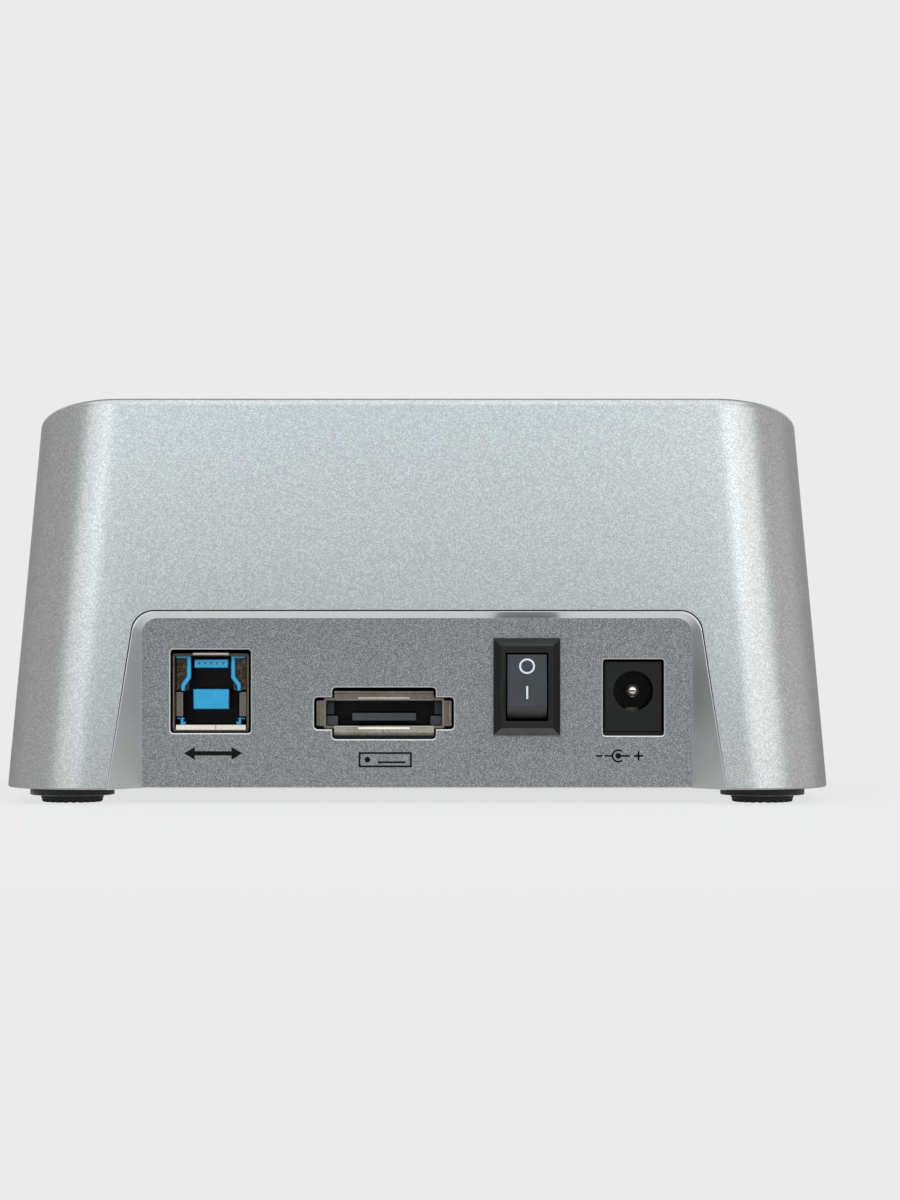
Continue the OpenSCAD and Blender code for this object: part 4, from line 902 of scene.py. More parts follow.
def rounded(width: float, depth: float, radius: float, centre: Point = (0.0, 0.0),
            steps: int = 8) -> list[Point]:
    """Gives the outline of a rounded rectangle.

    Args:
        width: Size along the first axis.
        depth: Size along the second axis.
        radius: Corner radius.
        centre: Middle of the rectangle.
        steps: Steps round each corner.

    Returns:
        Points in order.
    """
    points = []
    for quarter, (sx, sy) in enumerate(((1, 1), (-1, 1), (-1, -1), (1, -1))):
        for step in range(steps + 1):
            angle = math.radians(90.0 * (quarter + step / steps))
            points.append((centre[0] + sx * (width / 2 - radius) + radius * math.cos(angle),
                           centre[1] + sy * (depth / 2 - radius) + radius * math.sin(angle)))
    return points


def arch(low_half: float, high_half: float, low: float, high: float, radius: float,
         steps: int = 14) -> list[Point]:
    """Gives an outline with leaning sides and round upper corners.

    Args:
        low_half: Half width at the foot.
        high_half: Half width at the top, before rounding.
        low: Height of the foot.
        high: Height of the top.
        radius: Radius of the upper corners.
        steps: Steps round each corner.

    Returns:
        Points in order.
    """
    lean = math.atan((low_half - high_half) / (high - low))
    centre = high_half + radius * math.tan(lean) - radius / math.cos(lean)
    corner = []
    for step in range(steps + 1):
        angle = lean + step * (math.pi / 2 - lean) / steps
        corner.append((centre + radius * math.cos(angle), high - radius + radius * math.sin(angle)))
    mirrored = [(-x, z) for x, z in reversed(corner)]
    return [(low_half, low), *corner, *mirrored, (-low_half, low)]


def tube(name: str, path: Sequence[Vector], radius: float, sides: int = 14) -> Object:
    """Sweeps a round tube along points in millimetres.

    Args:
        name: Name of the object.
        path: Points of the middle line.
        radius: Radius of the tube.
        sides: Points round it.

    Returns:
        The closed tube.
    """
    last = len(path) - 1
    up = Vector((0.0, 0.0, 1.0))
    rings = []
    for index, point in enumerate(path):
        along = (path[min(index + 1, last)] - path[max(index - 1, 0)]).normalized()
        if index == 0 and abs(along.z) > STEEP:
            up = Vector((1.0, 0.0, 0.0))
        up = (up - along * up.dot(along)).normalized()
        side = along.cross(up)
        turns = [2.0 * math.pi * step / sides for step in range(sides)]
        rings.append([point + (up * math.cos(turn) + side * math.sin(turn)) * radius for turn in turns])
    return shade(from_bmesh(name, ring_mesh(rings)))


def lathe(name: str, profile: Sequence[Point], centre: Sequence[float], steps: int = 48) -> Object:
    """Spins a profile round an upright axis.

    Args:
        name: Name of the object.
        profile: Points (radius, height) from the lower middle to the upper middle.
        centre: Point (x, y, z) that the profile's zero sits on.
        steps: Steps round the axis.

    Returns:
        The closed solid.
    """
    rings = []
    for radius, height in profile:
        ring = []
        for step in range(steps):
            turn = 2.0 * math.pi * step / steps
            x, y = radius * math.cos(turn), radius * math.sin(turn)
            ring.append(Vector((centre[0] + x, centre[1] + y, centre[2] + height)))
        rings.append(ring)
    return from_bmesh(name, ring_mesh(rings))


# Repeats


class Repeats:
    """Geometry Nodes trees for pieces that repeat in a row or round a ring."""

    def __init__(self) -> None:
        """Builds both trees."""
        self.row_tree = self._row()
        self.ring_tree = self._ring()

    @staticmethod
    def _start(name: str, sockets: Sequence[tuple[str, str]]) -> tuple[Tree, Node]:
        """Makes a tree with a Geometry output and named inputs.

        Args:
            name: Name of the tree.
            sockets: Input names with their socket types.

        Returns:
            The tree and its input node.
        """
        tree = bpy.data.node_groups.new(name, "GeometryNodeTree")
        tree.interface.new_socket(name="Geometry", in_out="OUTPUT", socket_type="NodeSocketGeometry")
        for socket, kind in sockets:
            tree.interface.new_socket(name=socket, in_out="INPUT", socket_type=kind)
        return tree, tree.nodes.new("NodeGroupInput")

    @staticmethod
    def _end(tree: Tree, entry: Node, points: Socket,
             turn: Socket | None) -> None:
        """Places the prototype on points, makes it real and gives it its material.

        Args:
            tree: The tree.
            entry: Its input node.
            points: Geometry with the points.
            turn: Rotation of each copy, or None.
        """
        proto = tree.nodes.new("GeometryNodeObjectInfo")
        place = tree.nodes.new("GeometryNodeInstanceOnPoints")
        real = tree.nodes.new("GeometryNodeRealizeInstances")
        paint = tree.nodes.new("GeometryNodeSetMaterial")
        leave = tree.nodes.new("NodeGroupOutput")
        tree.links.new(entry.outputs["Prototype"], proto.inputs["Object"])
        tree.links.new(points, place.inputs["Points"])
        tree.links.new(proto.outputs["Geometry"], place.inputs["Instance"])
        if turn is not None:
            tree.links.new(turn, place.inputs["Rotation"])
        tree.links.new(place.outputs["Instances"], real.inputs["Geometry"])
        tree.links.new(real.outputs["Geometry"], paint.inputs["Geometry"])
        tree.links.new(entry.outputs["Finish"], paint.inputs["Material"])
        tree.links.new(paint.outputs["Geometry"], leave.inputs["Geometry"])

    def _row(self) -> Tree:
        """Copies along X at an even pitch.

        Returns:
            The tree.
        """
        tree, entry = self._start("even_row", (
            ("Prototype", "NodeSocketObject"), ("Count", "NodeSocketInt"), ("Pitch", "NodeSocketFloat"),
            ("Finish", "NodeSocketMaterial")))
        line = tree.nodes.new("GeometryNodeMeshLine")
        step = tree.nodes.new("ShaderNodeCombineXYZ")
        tree.links.new(entry.outputs["Count"], line.inputs["Count"])
        tree.links.new(entry.outputs["Pitch"], step.inputs["X"])
        tree.links.new(step.outputs[0], line.inputs["Offset"])
        self._end(tree, entry, line.outputs["Mesh"], None)
        return tree

    def _ring(self) -> Tree:
        """Copies round Z, each turned to face outwards.

        Returns:
            The tree.
        """
        tree, entry = self._start("even_ring", (
            ("Prototype", "NodeSocketObject"), ("Count", "NodeSocketInt"), ("Radius", "NodeSocketFloat"),
            ("Finish", "NodeSocketMaterial")))
        circle = tree.nodes.new("GeometryNodeMeshCircle")
        index = tree.nodes.new("GeometryNodeInputIndex")
        share = tree.nodes.new("ShaderNodeMath")
        share.operation = "DIVIDE"
        turn = tree.nodes.new("ShaderNodeMath")
        turn.operation = "MULTIPLY"
        turn.inputs[1].default_value = 2.0 * math.pi
        euler = tree.nodes.new("ShaderNodeCombineXYZ")
        tree.links.new(entry.outputs["Count"], circle.inputs["Vertices"])
        tree.links.new(entry.outputs["Radius"], circle.inputs["Radius"])
        tree.links.new(index.outputs[0], share.inputs[0])
        tree.links.new(entry.outputs["Count"], share.inputs[1])
        tree.links.new(share.outputs[0], turn.inputs[0])
        tree.links.new(turn.outputs[0], euler.inputs["Z"])
        self._end(tree, entry, circle.outputs["Mesh"], euler.outputs[0])
        return tree

    @staticmethod
    def _run(name: str, tree: Tree, values: dict[str, object], place: Sequence[float]) -> Object:
        """Runs a tree once and leaves its result as a plain mesh.

        Args:
            name: Name of the piece.
            tree: The tree to run.
            values: Its inputs by name.
            place: Offset of the result, in millimetres.

        Returns:
            The piece. The prototype is removed.
        """
        piece = linked(name, bpy.data.meshes.new(name))
        modifier = piece.modifiers.new("repeat", "NODES")
        modifier.node_group = tree
        for item in tree.interface.items_tree:
            if item.in_out == "INPUT":
                modifier[item.identifier] = values[item.name]
        bake(piece)
        piece.data.transform(Matrix.Translation(Vector(place) * MM))
        bpy.data.objects.remove(values["Prototype"])
        return piece

    def row(self, name: str, proto: Object, count: int, pitch: float, place: Sequence[float],
            finish: Finish) -> Object:
        """Repeats a prototype along X.

        Args:
            name: Name of the piece.
            proto: Prototype round the origin, which is used up.
            count: Number of copies.
            pitch: Distance between them.
            place: Where the first copy goes.
            finish: Finish of the copies.

        Returns:
            The piece.
        """
        return self._run(name, self.row_tree, {
            "Prototype": proto, "Count": count, "Pitch": pitch * MM, "Finish": finish.material()}, place)

    def ring(self, name: str, proto: Object, count: int, radius: float, place: Sequence[float],
             finish: Finish) -> Object:
        """Repeats a prototype round Z.

        Args:
            name: Name of the piece.
            proto: Prototype round the origin, which is used up.
            count: Number of copies.
            radius: Radius of the ring.
            place: Middle of the ring.
            finish: Finish of the copies.

        Returns:
            The piece.
        """
        return self._run(name, self.ring_tree, {
            "Prototype": proto, "Count": count, "Radius": radius * MM, "Finish": finish.material()}, place)


REPEATS = Repeats()


# Placing


@dataclass(frozen=True)
class SoftCopy:
    """How a CAD node is replaced by a copy with rounded edges."""

    node: str
    finish: Finish
    width: float
    body: Body = Body.CASE
    segments: int = 2
    clamp: bool = True
    ahead: float | None = None


class Workshop:
    """Puts finished pieces on their bodies and keeps a list of them."""

    def __init__(self, nodes: dict[str, Object]) -> None:
        """Takes the frame's nodes.

        Args:
            nodes: CAD objects by node name.
        """
        self.nodes = nodes
        self.placed: list[str] = []

    def place(self, piece: Object, finish: Finish, body: Body = Body.CASE,
              stands_for: Sequence[str] = ()) -> Object:
        """Paints a piece, sets it on its body and hides the nodes it stands for.

        Args:
            piece: The finished mesh.
            finish: Its finish, used where the mesh has no material yet.
            body: Body it rides on.
            stands_for: CAD nodes that it replaces.

        Returns:
            The piece.
        """
        if not piece.data.materials:
            piece.data.materials.append(finish.material())
        if stands_for:
            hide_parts(*stands_for)
        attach(piece, body.value)
        self.placed.append(piece.name)
        return piece

    def copy(self, node: str) -> Object:
        """Copies a CAD node as one welded mesh with its flat faces whole.

        Args:
            node: Name of the node.

        Returns:
            The copy, at the origin.
        """
        source = self.nodes[node]
        bm = bmesh.new()
        bm.from_mesh(source.data)
        bm.transform(source.matrix_world)
        bmesh.ops.remove_doubles(bm, verts=bm.verts, dist=COPY_WELD)
        bmesh.ops.dissolve_limit(
            bm, angle_limit=math.radians(FLAT_ANGLE), verts=bm.verts, edges=bm.edges)
        return from_bmesh(node + "_dressed", bm)

    def soft(self, *jobs: SoftCopy) -> None:
        """Replaces nodes by copies with rounded edges.

        Args:
            jobs: The nodes, each with its finish and its rounding.
        """
        for job in jobs:
            piece = soften(
                self.copy(job.node), job.width, job.segments, clamp=job.clamp, ahead=job.ahead)
            self.place(piece, job.finish, job.body, (job.node,))

    def paint(self, node: str, finish: Finish) -> None:
        """Gives a finish to a CAD node that stays as it is.

        Args:
            node: Name of the node.
            finish: Its finish.
        """
        target = self.nodes[node]
        if target.material_slots:
            for slot in target.material_slots:
                slot.material = finish.material()
        else:
            target.data.materials.append(finish.material())
        self.placed.append(node)


# Forms


@dataclass(frozen=True)
class CaseForm:
    """Outer form of the case, which the other pieces take their planes from."""

    width: float = 130.5
    depth: float = 88.0
    height: float = 62.0
    wall: float = 2.2
    corner: float = 13.6
    side_lean: float = 4.3
    end_lean: float = 9.2
    top_fall: float = 15.5
    rim: float = 1.5
    rim_drop: float = 0.8
    plate: float = 2.4
    ledge: float = 1.6
    lift: float = 2.4
    corner_steps: int = 28

    @property
    def fall(self) -> float:
        """Slope of the top."""
        return math.tan(math.radians(self.top_fall))

    @property
    def lean_y(self) -> float:
        """Slope of the front and rear walls."""
        return math.tan(math.radians(self.end_lean))

    @property
    def top_z(self) -> float:
        """Height of the rear top edge."""
        return self.lift + self.height

    @property
    def top_y(self) -> float:
        """Depth of the rear top edge."""
        return self.depth / 2 - self.height * self.lean_y

    def half_w(self, z: float) -> float:
        """Half width at a height."""
        return self.width / 2 - (z - self.lift) * math.tan(math.radians(self.side_lean))

    def half_d(self, z: float) -> float:
        """Half depth at a height."""
        return self.depth / 2 - (z - self.lift) * self.lean_y

    def _point(self, sx: int, sy: int, angle: float, inset: float, z: float) -> Vector:
        """Gives one point of the outline at a height.

        Args:
            sx: Side of the corner along X, -1 or 1.
            sy: Side of the corner along Y, -1 or 1.
            angle: Angle round the corner, in radians.
            inset: Distance in from the outer face.
            z: The height.

        Returns:
            The point.
        """
        radius = self.corner - inset
        return Vector((sx * (self.half_w(z) - self.corner) + radius * math.cos(angle),
                       sy * (self.half_d(z) - self.corner) + radius * math.sin(angle), z))

    def _corners(self) -> list[tuple[int, int, float]]:
        """Gives side signs and angle for each point of the outline.

        Returns:
            Points in order.
        """
        points = []
        for quarter, (sx, sy) in enumerate(((1, 1), (-1, 1), (-1, -1), (1, -1))):
            for step in range(self.corner_steps + 1):
                points.append((sx, sy, math.radians(90.0 * (quarter + step / self.corner_steps))))
        return points

    def level_ring(self, inset: float, z: float) -> list[Vector]:
        """Gives the outline at a height, moved in by an inset."""
        return [self._point(sx, sy, angle, inset, z) for sx, sy, angle in self._corners()]

    def top_ring(self, inset: float, rise: float) -> list[Vector]:
        """Gives the outline in a plane parallel to the sloping top.

        Args:
            inset: Distance in from the outer face.
            rise: Height of the plane, square to the top.

        Returns:
            Points in order.
        """
        points = []
        base = self.top_z - self.fall * self.top_y + rise / math.cos(math.radians(self.top_fall))
        for sx, sy, angle in self._corners():
            radius = self.corner - inset
            foot = sy * (self.depth / 2 + self.lift * self.lean_y - self.corner) + radius * math.sin(angle)
            z = (base + self.fall * foot) / (1.0 + self.fall * sy * self.lean_y)
            points.append(self._point(sx, sy, angle, inset, z))
        return points

    def solid(self, name: str) -> Object:
        """Makes the closed outer form without its rounded rim."""
        rings = [self.level_ring(0.0, self.lift), self.top_ring(0.0, -self.rim)]
        return from_bmesh(name, ring_mesh(rings))


@dataclass(frozen=True)
class InsertForm:
    """Rear insert: a flat panel inside a flare that runs out into the wall."""

    case: CaseForm = CaseForm()
    width: float = 86.7
    height: float = 26.8
    thick: float = 2.0
    back: float = 5.5
    corner: float = 2.5
    side: float = 0.9
    land: float = 0.1
    reach: float = 8.5
    taper: float = 1e-4

    @property
    def face(self) -> float:
        """Depth of the panel's face."""
        return self.case.depth / 2 - self.back

    @property
    def rise(self) -> float:
        """Width of the flare at its top."""
        return (self.back - self.height * self.case.lean_y) / (1.0 + self.case.lean_y)

    def outline(self, grow: float, low: float) -> list[Point]:
        """Gives the insert's outline where it meets the wall.

        Args:
            grow: Distance that it is widened by, all round.
            low: Height of its foot.

        Returns:
            Points (x, z) in order.
        """
        half = self.width / 2 + self.land + grow
        top = self.case.lift + self.height + self.rise + self.land + grow
        return arch(half + self.side * self.back, half + self.side * self.rise, low, top,
                    self.corner + self.rise + grow)

    def flare(self, grow: float) -> list[Point]:
        """Gives the flare's section where it has widened by an amount.

        Args:
            grow: The amount.

        Returns:
            Points (x, z) in order.
        """
        half = self.width / 2 + self.side * grow
        low = self.case.lift - 2.0 * self.reach - grow
        top = self.case.lift + self.height + grow
        return arch(half, half - self.taper, low, top, self.corner + grow)


@dataclass(frozen=True)
class Ports:
    """Where the sockets and the switch sit in the panel.

    An opening is given as its width, its height and the radius of its corners.
    """

    board: float = 11.3
    square_x: float = 32.5
    square_front: float = 38.1
    square_rise: float = 6.37
    square_opening: Triple = (12.68, 13.16, 0.45)
    flat_x: float = 5.2
    flat_z: float = 14.2
    flat_front: float = 38.25
    flat_opening: Triple = (16.34, 8.14, 0.6)
    flat_ears: Triple = (22.04, 5.04, 0.6)
    inlet_x: float = -34.1
    inlet_z: float = 17.7
    inlet_rise: float = 5.4
    inlet_opening: Triple = (9.64, 12.04, 0.45)
    switch_x: float = -17.3
    switch_z: float = 18.4
    switch_opening: Triple = (8.7, 13.5, 0.3)

    def openings(self, grow: float) -> list[list[Point]]:
        """Gives the outlines that are cut from the panel.

        Args:
            grow: Distance that they are widened by, all round.

        Returns:
            One outline for each opening.
        """
        shapes = (
            (self.square_opening, (self.square_x, self.board + self.square_rise)),
            (self.flat_opening, (self.flat_x, self.flat_z)),
            (self.flat_ears, (self.flat_x, self.flat_z)),
            (self.inlet_opening, (self.inlet_x, self.board + self.inlet_rise)),
            (self.switch_opening, (self.switch_x, self.switch_z)),
        )
        return [rounded(width + 2 * grow, height + 2 * grow, radius + grow, centre)
                for (width, height, radius), centre in shapes]


# Assemblies


@dataclass
class CaseAssembly:
    """Outer shell, rear insert, base plate and feet."""

    shop: Workshop
    form: CaseForm = CaseForm()
    insert: InsertForm = InsertForm()
    ports: Ports = Ports()
    gap: float = 0.15
    edge: float = 0.18
    past: float = 0.1
    rim_steps: int = 10
    shell_rounding: float = 0.14
    shell_angle: float = 40.0
    opening_drop: float = 1.0
    opening_depth: float = 3.0
    chamfer: float = 0.17
    panel_rounding: float = 0.06
    panel_angle: float = 25.0
    flare_from: float = 0.02
    # Depth and tilt of the chamfer faces that carry the painted highlight
    glint_depth: Point = (-0.3, -0.005)
    glint_tilt: Point = (0.15, 0.97)
    lug_x: float = 26.0
    lug_half: float = 4.0
    lug_length: float = 6.0
    lug_root: float = 0.5
    lug_height: float = 2.0
    post_radius: float = 3.8
    post_height: float = 15.0
    post_bore: Point = (0.9, 1.25)
    post_step: float = 9.0
    web: float = 2.0
    foot: Point = (54.9, 32.0)
    base_top: float = 4.8
    base: SoftCopy = SoftCopy("base_plate", PALETTE.base, 0.3, segments=3)
    pad_radius: float = 4.95
    pad_height: float = 1.75
    pad_edge: float = 0.1
    pad_core: float = 0.01
    pad_sole: tuple[Point, ...] = ((-2.2, 0.0), (-2.05, 0.45), (-0.35, 0.45), (-0.1, 0.52), (0.0, 0.7))
    tread_count: int = 22
    tread_size: Triple = (1.7, 0.76, 0.9)
    tread_corner: float = 0.3
    tread_rounding: float = 0.1
    tread_inset: float = 0.98

    def build(self) -> None:
        """Makes and places every piece."""
        self._shell()
        self._panel()
        self.shop.soft(self.base)
        for node, sx, sy in (("foot_rear_left", -1, 1), ("foot_rear_right", 1, 1),
                             ("foot_front_left", -1, -1), ("foot_front_right", 1, -1)):
            self._pad(node, sx * self.foot[0], sy * self.foot[1])
        self.shop.paint("case_screws", PALETTE.zinc)

    def _shell(self) -> None:
        """Skins the shell inside and out, with a round rim, and cuts the insert's opening."""
        form = self.form
        rings = [form.level_ring(self.edge, form.lift), form.level_ring(0.0, form.lift + self.edge)]
        for step in range(self.rim_steps + 1):
            angle = math.pi / 2 * step / self.rim_steps
            rings.append(form.top_ring(form.rim * (1 - math.cos(angle)), -form.rim * (1 - math.sin(angle))))
        low = -form.rim_drop - form.plate
        deep = form.wall + form.ledge
        rings += [
            form.top_ring(form.wall - self.edge, 0.0),
            form.top_ring(form.wall, -self.edge),
            form.top_ring(form.wall, low),
            form.top_ring(deep, low),
            form.top_ring(deep, low - form.ledge),
            form.top_ring(form.wall, low - form.ledge),
            form.level_ring(form.wall, form.lift),
        ]
        shell = from_bmesh("shell_skin", ring_mesh(rings, wrap=True))
        outline = self.insert.outline(self.gap, form.lift - self.opening_drop)
        start = self.insert.face - self.insert.thick - self.opening_depth
        cut(shell, [prism("opening", outline, start, form.depth)])
        soften(join([shell, *self._posts()]), self.shell_rounding, angle=self.shell_angle)
        self.shop.place(shell, PALETTE.shell, Body.CASE, ("outer_shell",))

    def _posts(self) -> list[Object]:
        """Makes the screw posts with their webs to the walls.

        Returns:
            The posts and webs, apart.
        """
        pieces = []
        half = self.web / 2
        low, high = self.base_top, self.base_top + self.post_height
        narrow, wide = self.post_bore
        profile = [(narrow, 0.0), (self.post_radius, 0.0), (self.post_radius, self.post_height),
                   (wide, self.post_height), (wide, self.post_step), (narrow, self.post_step)]
        for sx in (-1, 1):
            for sy in (-1, 1):
                x, y = sx * self.foot[0], sy * self.foot[1]
                wall_x = sx * (self.form.half_w(high) - self.form.wall)
                wall_y = sy * (self.form.half_d(high) - self.form.wall)
                pieces += [
                    lathe("post", profile, (x, y, low), steps=32),
                    block("web", (min(x, wall_x), y - half, low), (max(x, wall_x), y + half, high)),
                    block("web", (x - half, min(y, wall_y), low), (x + half, max(y, wall_y), high)),
                ]
        return pieces

    def _panel(self) -> None:
        """Cuts the insert from the case's form, flares it and opens it for the sockets."""
        insert = self.insert
        back = insert.face - insert.thick
        body = prism("panel_insert", insert.outline(0.0, self.form.lift), back, self.form.depth)
        cut(body, [self.form.solid("form")], "INTERSECT")
        rings = [[Vector((x, insert.face + grow, z)) for x, z in insert.flare(grow)]
                 for grow in (0.0, insert.reach)]
        cut(body, [from_bmesh("flare", ring_mesh(rings))])
        cut(body, self._holes(back))
        cut(body, [self._foot_edge()])
        lugs = []
        for x in (-self.lug_x, self.lug_x):
            low = (x - self.lug_half, back - self.lug_length, self.base_top)
            high = (x + self.lug_half, back + self.lug_root, self.base_top + self.lug_height)
            lugs.append(block("lug", low, high))
        soften(join([body, *lugs]), self.panel_rounding, angle=self.panel_angle)
        for finish in (PALETTE.panel, PALETTE.flare, PALETTE.edge):
            body.data.materials.append(finish.material())
        for face in body.data.polygons:
            face.material_index = self._panel_part(face).value
        self.shop.place(body, PALETTE.panel, Body.CASE, ("rear_panel",))

    def _holes(self, back: float) -> list[Object]:
        """Makes the tools that open the panel, with mouths that widen to a chamfer.

        Args:
            back: Depth of the panel's back.

        Returns:
            One closed tool for each opening.
        """
        face = self.insert.face
        levels = (
            (back - 1.0, 0.0),
            (face - self.chamfer, 0.0),
            (face + self.past, self.chamfer + self.past),
        )
        stacks = zip(*([[Vector((x, y, z)) for x, z in outline] for outline in self.ports.openings(grow)]
                       for y, grow in levels))
        return [from_bmesh("hole", ring_mesh(rings)) for rings in stacks]

    def _foot_edge(self) -> Object:
        """Makes the tool that takes the edge off the panel's foot.

        Returns:
            A closed wedge along X.
        """
        face, low, past = self.insert.face, self.form.lift, self.past
        section = ((face + past, low - past), (face + past, low + self.chamfer + past),
                   (face - self.chamfer - past, low - past))
        half = self.insert.width / 2
        rings = [[Vector((x, y, z)) for y, z in section] for x in (-half, half)]
        return from_bmesh("foot_edge", ring_mesh(rings))

    def _panel_part(self, face: bpy.types.MeshPolygon) -> PanelPart:
        """Tells the flat face, the flare and the openings' chamfers, which carry a painted highlight,
        apart.

        Args:
            face: A face of the insert.

        Returns:
            The part that it belongs to.
        """
        ahead = face.center.y / MM - self.insert.face
        if ahead > self.flare_from:
            return PanelPart.FLARE
        # Chamfers just behind the face get the pale finish, a painted highlight
        tilted = self.glint_tilt[0] < abs(face.normal.y) < self.glint_tilt[1]
        bright = tilted and self.glint_depth[0] < ahead < self.glint_depth[1]
        return PanelPart.EDGE if bright else PanelPart.FACE

    def _pad(self, node: str, x: float, y: float) -> None:
        """Makes one rubber pad with a ring of treads in its sole.

        Args:
            node: CAD node that it stands for.
            x: Its place.
            y: Its place.
        """
        radius, height, edge = self.pad_radius, self.pad_height, self.pad_edge
        sole = [(radius + run, rise) for run, rise in self.pad_sole]
        top = [(radius, height - edge), (radius - edge, height), (self.pad_core, height)]
        profile = [(self.pad_core, 0.0), *sole, *top]
        pad = shade(lathe(node + "_pad", profile, (x, y, 0.0), steps=64))
        length, width, rise = self.tread_size
        outline = rounded(length, rise, self.tread_corner, (0.0, rise / 2), steps=4)
        tread = soften(prism("tread", outline, -width / 2, width / 2), self.tread_rounding)
        treads = REPEATS.ring(
            "treads", tread, self.tread_count, radius - self.tread_inset, (x, y, 0.0), PALETTE.rubber)
        pad.data.materials.append(PALETTE.rubber.material())
        join([pad, treads])
        self.shop.place(pad, PALETTE.rubber, Body.CASE, (node,))


@dataclass
class TopAssembly:
    """Top plate, cradle, flap and the eject parts."""

    shop: Workshop
    hinge: Point = (-12.25, 48.3164)
    fall: float = 15.5
    stem: Point = (-26.75, 31.9312)
    eject_wire: float = 0.6
    eject_length: float = 8.5
    eject_radius: float = 3.15
    eject_turns: int = 5
    flap_wire: float = 0.5
    flap_turns: float = 4.5
    flap_length: float = 5.6
    flap_radius: float = 1.55
    flap_start: float = 40.0
    flap_leg: float = 2.6
    wall: float = -14.6
    travel: float = 3.5
    turn_steps: int = 24
    copies: tuple[SoftCopy, ...] = (
        SoftCopy("top_plate", PALETTE.dark, 0.16, segments=3, clamp=False),
        SoftCopy("drive_cradle", PALETTE.base, 0.25),
        SoftCopy("slot_flap", PALETTE.dark, 0.2, Body.FLAP, segments=3, clamp=False),
        SoftCopy("eject_button", PALETTE.button, 0.6, Body.BUTTON, segments=4, clamp=False),
        SoftCopy("eject_lever", PALETTE.lever, 0.2, Body.LEVER, clamp=False),
        SoftCopy("light_pipes", PALETTE.clear, 0.5, segments=4),
        SoftCopy("flap_pin", PALETTE.zinc, 0.2),
        SoftCopy("lever_pin", PALETTE.zinc, 0.2),
    )

    def build(self) -> None:
        """Makes and places every piece."""
        self.shop.soft(*self.copies)
        self.shop.paint("cradle_screws", PALETTE.zinc)
        self._eject_spring()
        self._flap_spring()

    def _eject_spring(self) -> None:
        """Winds the button's spring, which on the real dock shortens as the button goes down."""
        steps = self.turn_steps * self.eject_turns
        rise = self.eject_length - 2.0 * self.eject_wire
        y, z = self.stem
        coil = []
        for step in range(steps + 1):
            turn = 2.0 * math.pi * self.eject_turns * step / steps
            across, along = self.eject_radius * math.cos(turn), self.eject_radius * math.sin(turn)
            coil.append(Vector((across, y + along, z + self.eject_wire + rise * step / steps)))
        end = Vector((0.0, 0.0, self.eject_wire))
        spring = tube("eject_coil", [coil[0] - end, *coil, coil[-1] + end], self.eject_wire / 2)
        self.shop.place(spring, PALETTE.spring, Body.CASE, ("eject_spring",))
        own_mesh(spring)

    def _flap_spring(self) -> None:
        """Winds the flap's torsion spring round its pin."""
        steps = int(self.turn_steps * self.flap_turns)
        start = self.flap_start + self.flap_wire / 2
        length = self.flap_length - self.flap_wire
        coil = []
        for step in range(steps + 1):
            turn = math.pi - 2.0 * math.pi * self.flap_turns * step / steps
            across, up = self.flap_radius * math.cos(turn), self.flap_radius * math.sin(turn)
            coil.append(Vector((start + length * step / steps, across, up)))
        tilt = math.radians(self.fall)
        wall = (self.wall - self.hinge[0] - self.flap_leg * math.sin(tilt)) / math.cos(tilt)
        foot = Vector((coil[0].x, wall, -self.flap_leg))
        square = Vector((0.0, math.cos(tilt), -math.sin(tilt))) * self.flap_wire
        down = Vector((0.0, 0.0, self.flap_wire))
        path = [foot, foot + square, coil[0] - Vector((0.0, 0.0, self.flap_leg / 2)), coil[0] - down,
                *coil, coil[-1] - down, coil[-1] - 3 * down]
        place = Matrix.Translation((0.0, self.hinge[0], self.hinge[1])) @ Matrix.Rotation(tilt, 4, "X")
        spring = tube("flap_coil", [place @ point for point in path], self.flap_wire / 2, sides=12)
        self.shop.place(spring, PALETTE.spring, Body.CASE, ("flap_spring",))


@dataclass(frozen=True)
class SidePair:
    """Two boxes, one on either side of a socket's middle, sized from its front and its foot."""

    name: str
    finish: Finish
    across: Point
    along: Point
    up: Point


@dataclass(frozen=True)
class CrossBar:
    """A bar along X with a (y, z) section, sized from a socket's front and its foot."""

    name: str
    finish: Finish
    section: tuple[Point, ...]
    half: float
    shift: float = 0.0
    rounding: float = 0.05


@dataclass(frozen=True)
class Dash:
    """A rounded bar or dot of a printed sign."""

    width: float
    height: float
    corner: float
    centre: Point
    steps: int = 3

    def outline(self) -> list[Point]:
        """Gives its outline."""
        return rounded(self.width, self.height, self.corner, self.centre, self.steps)


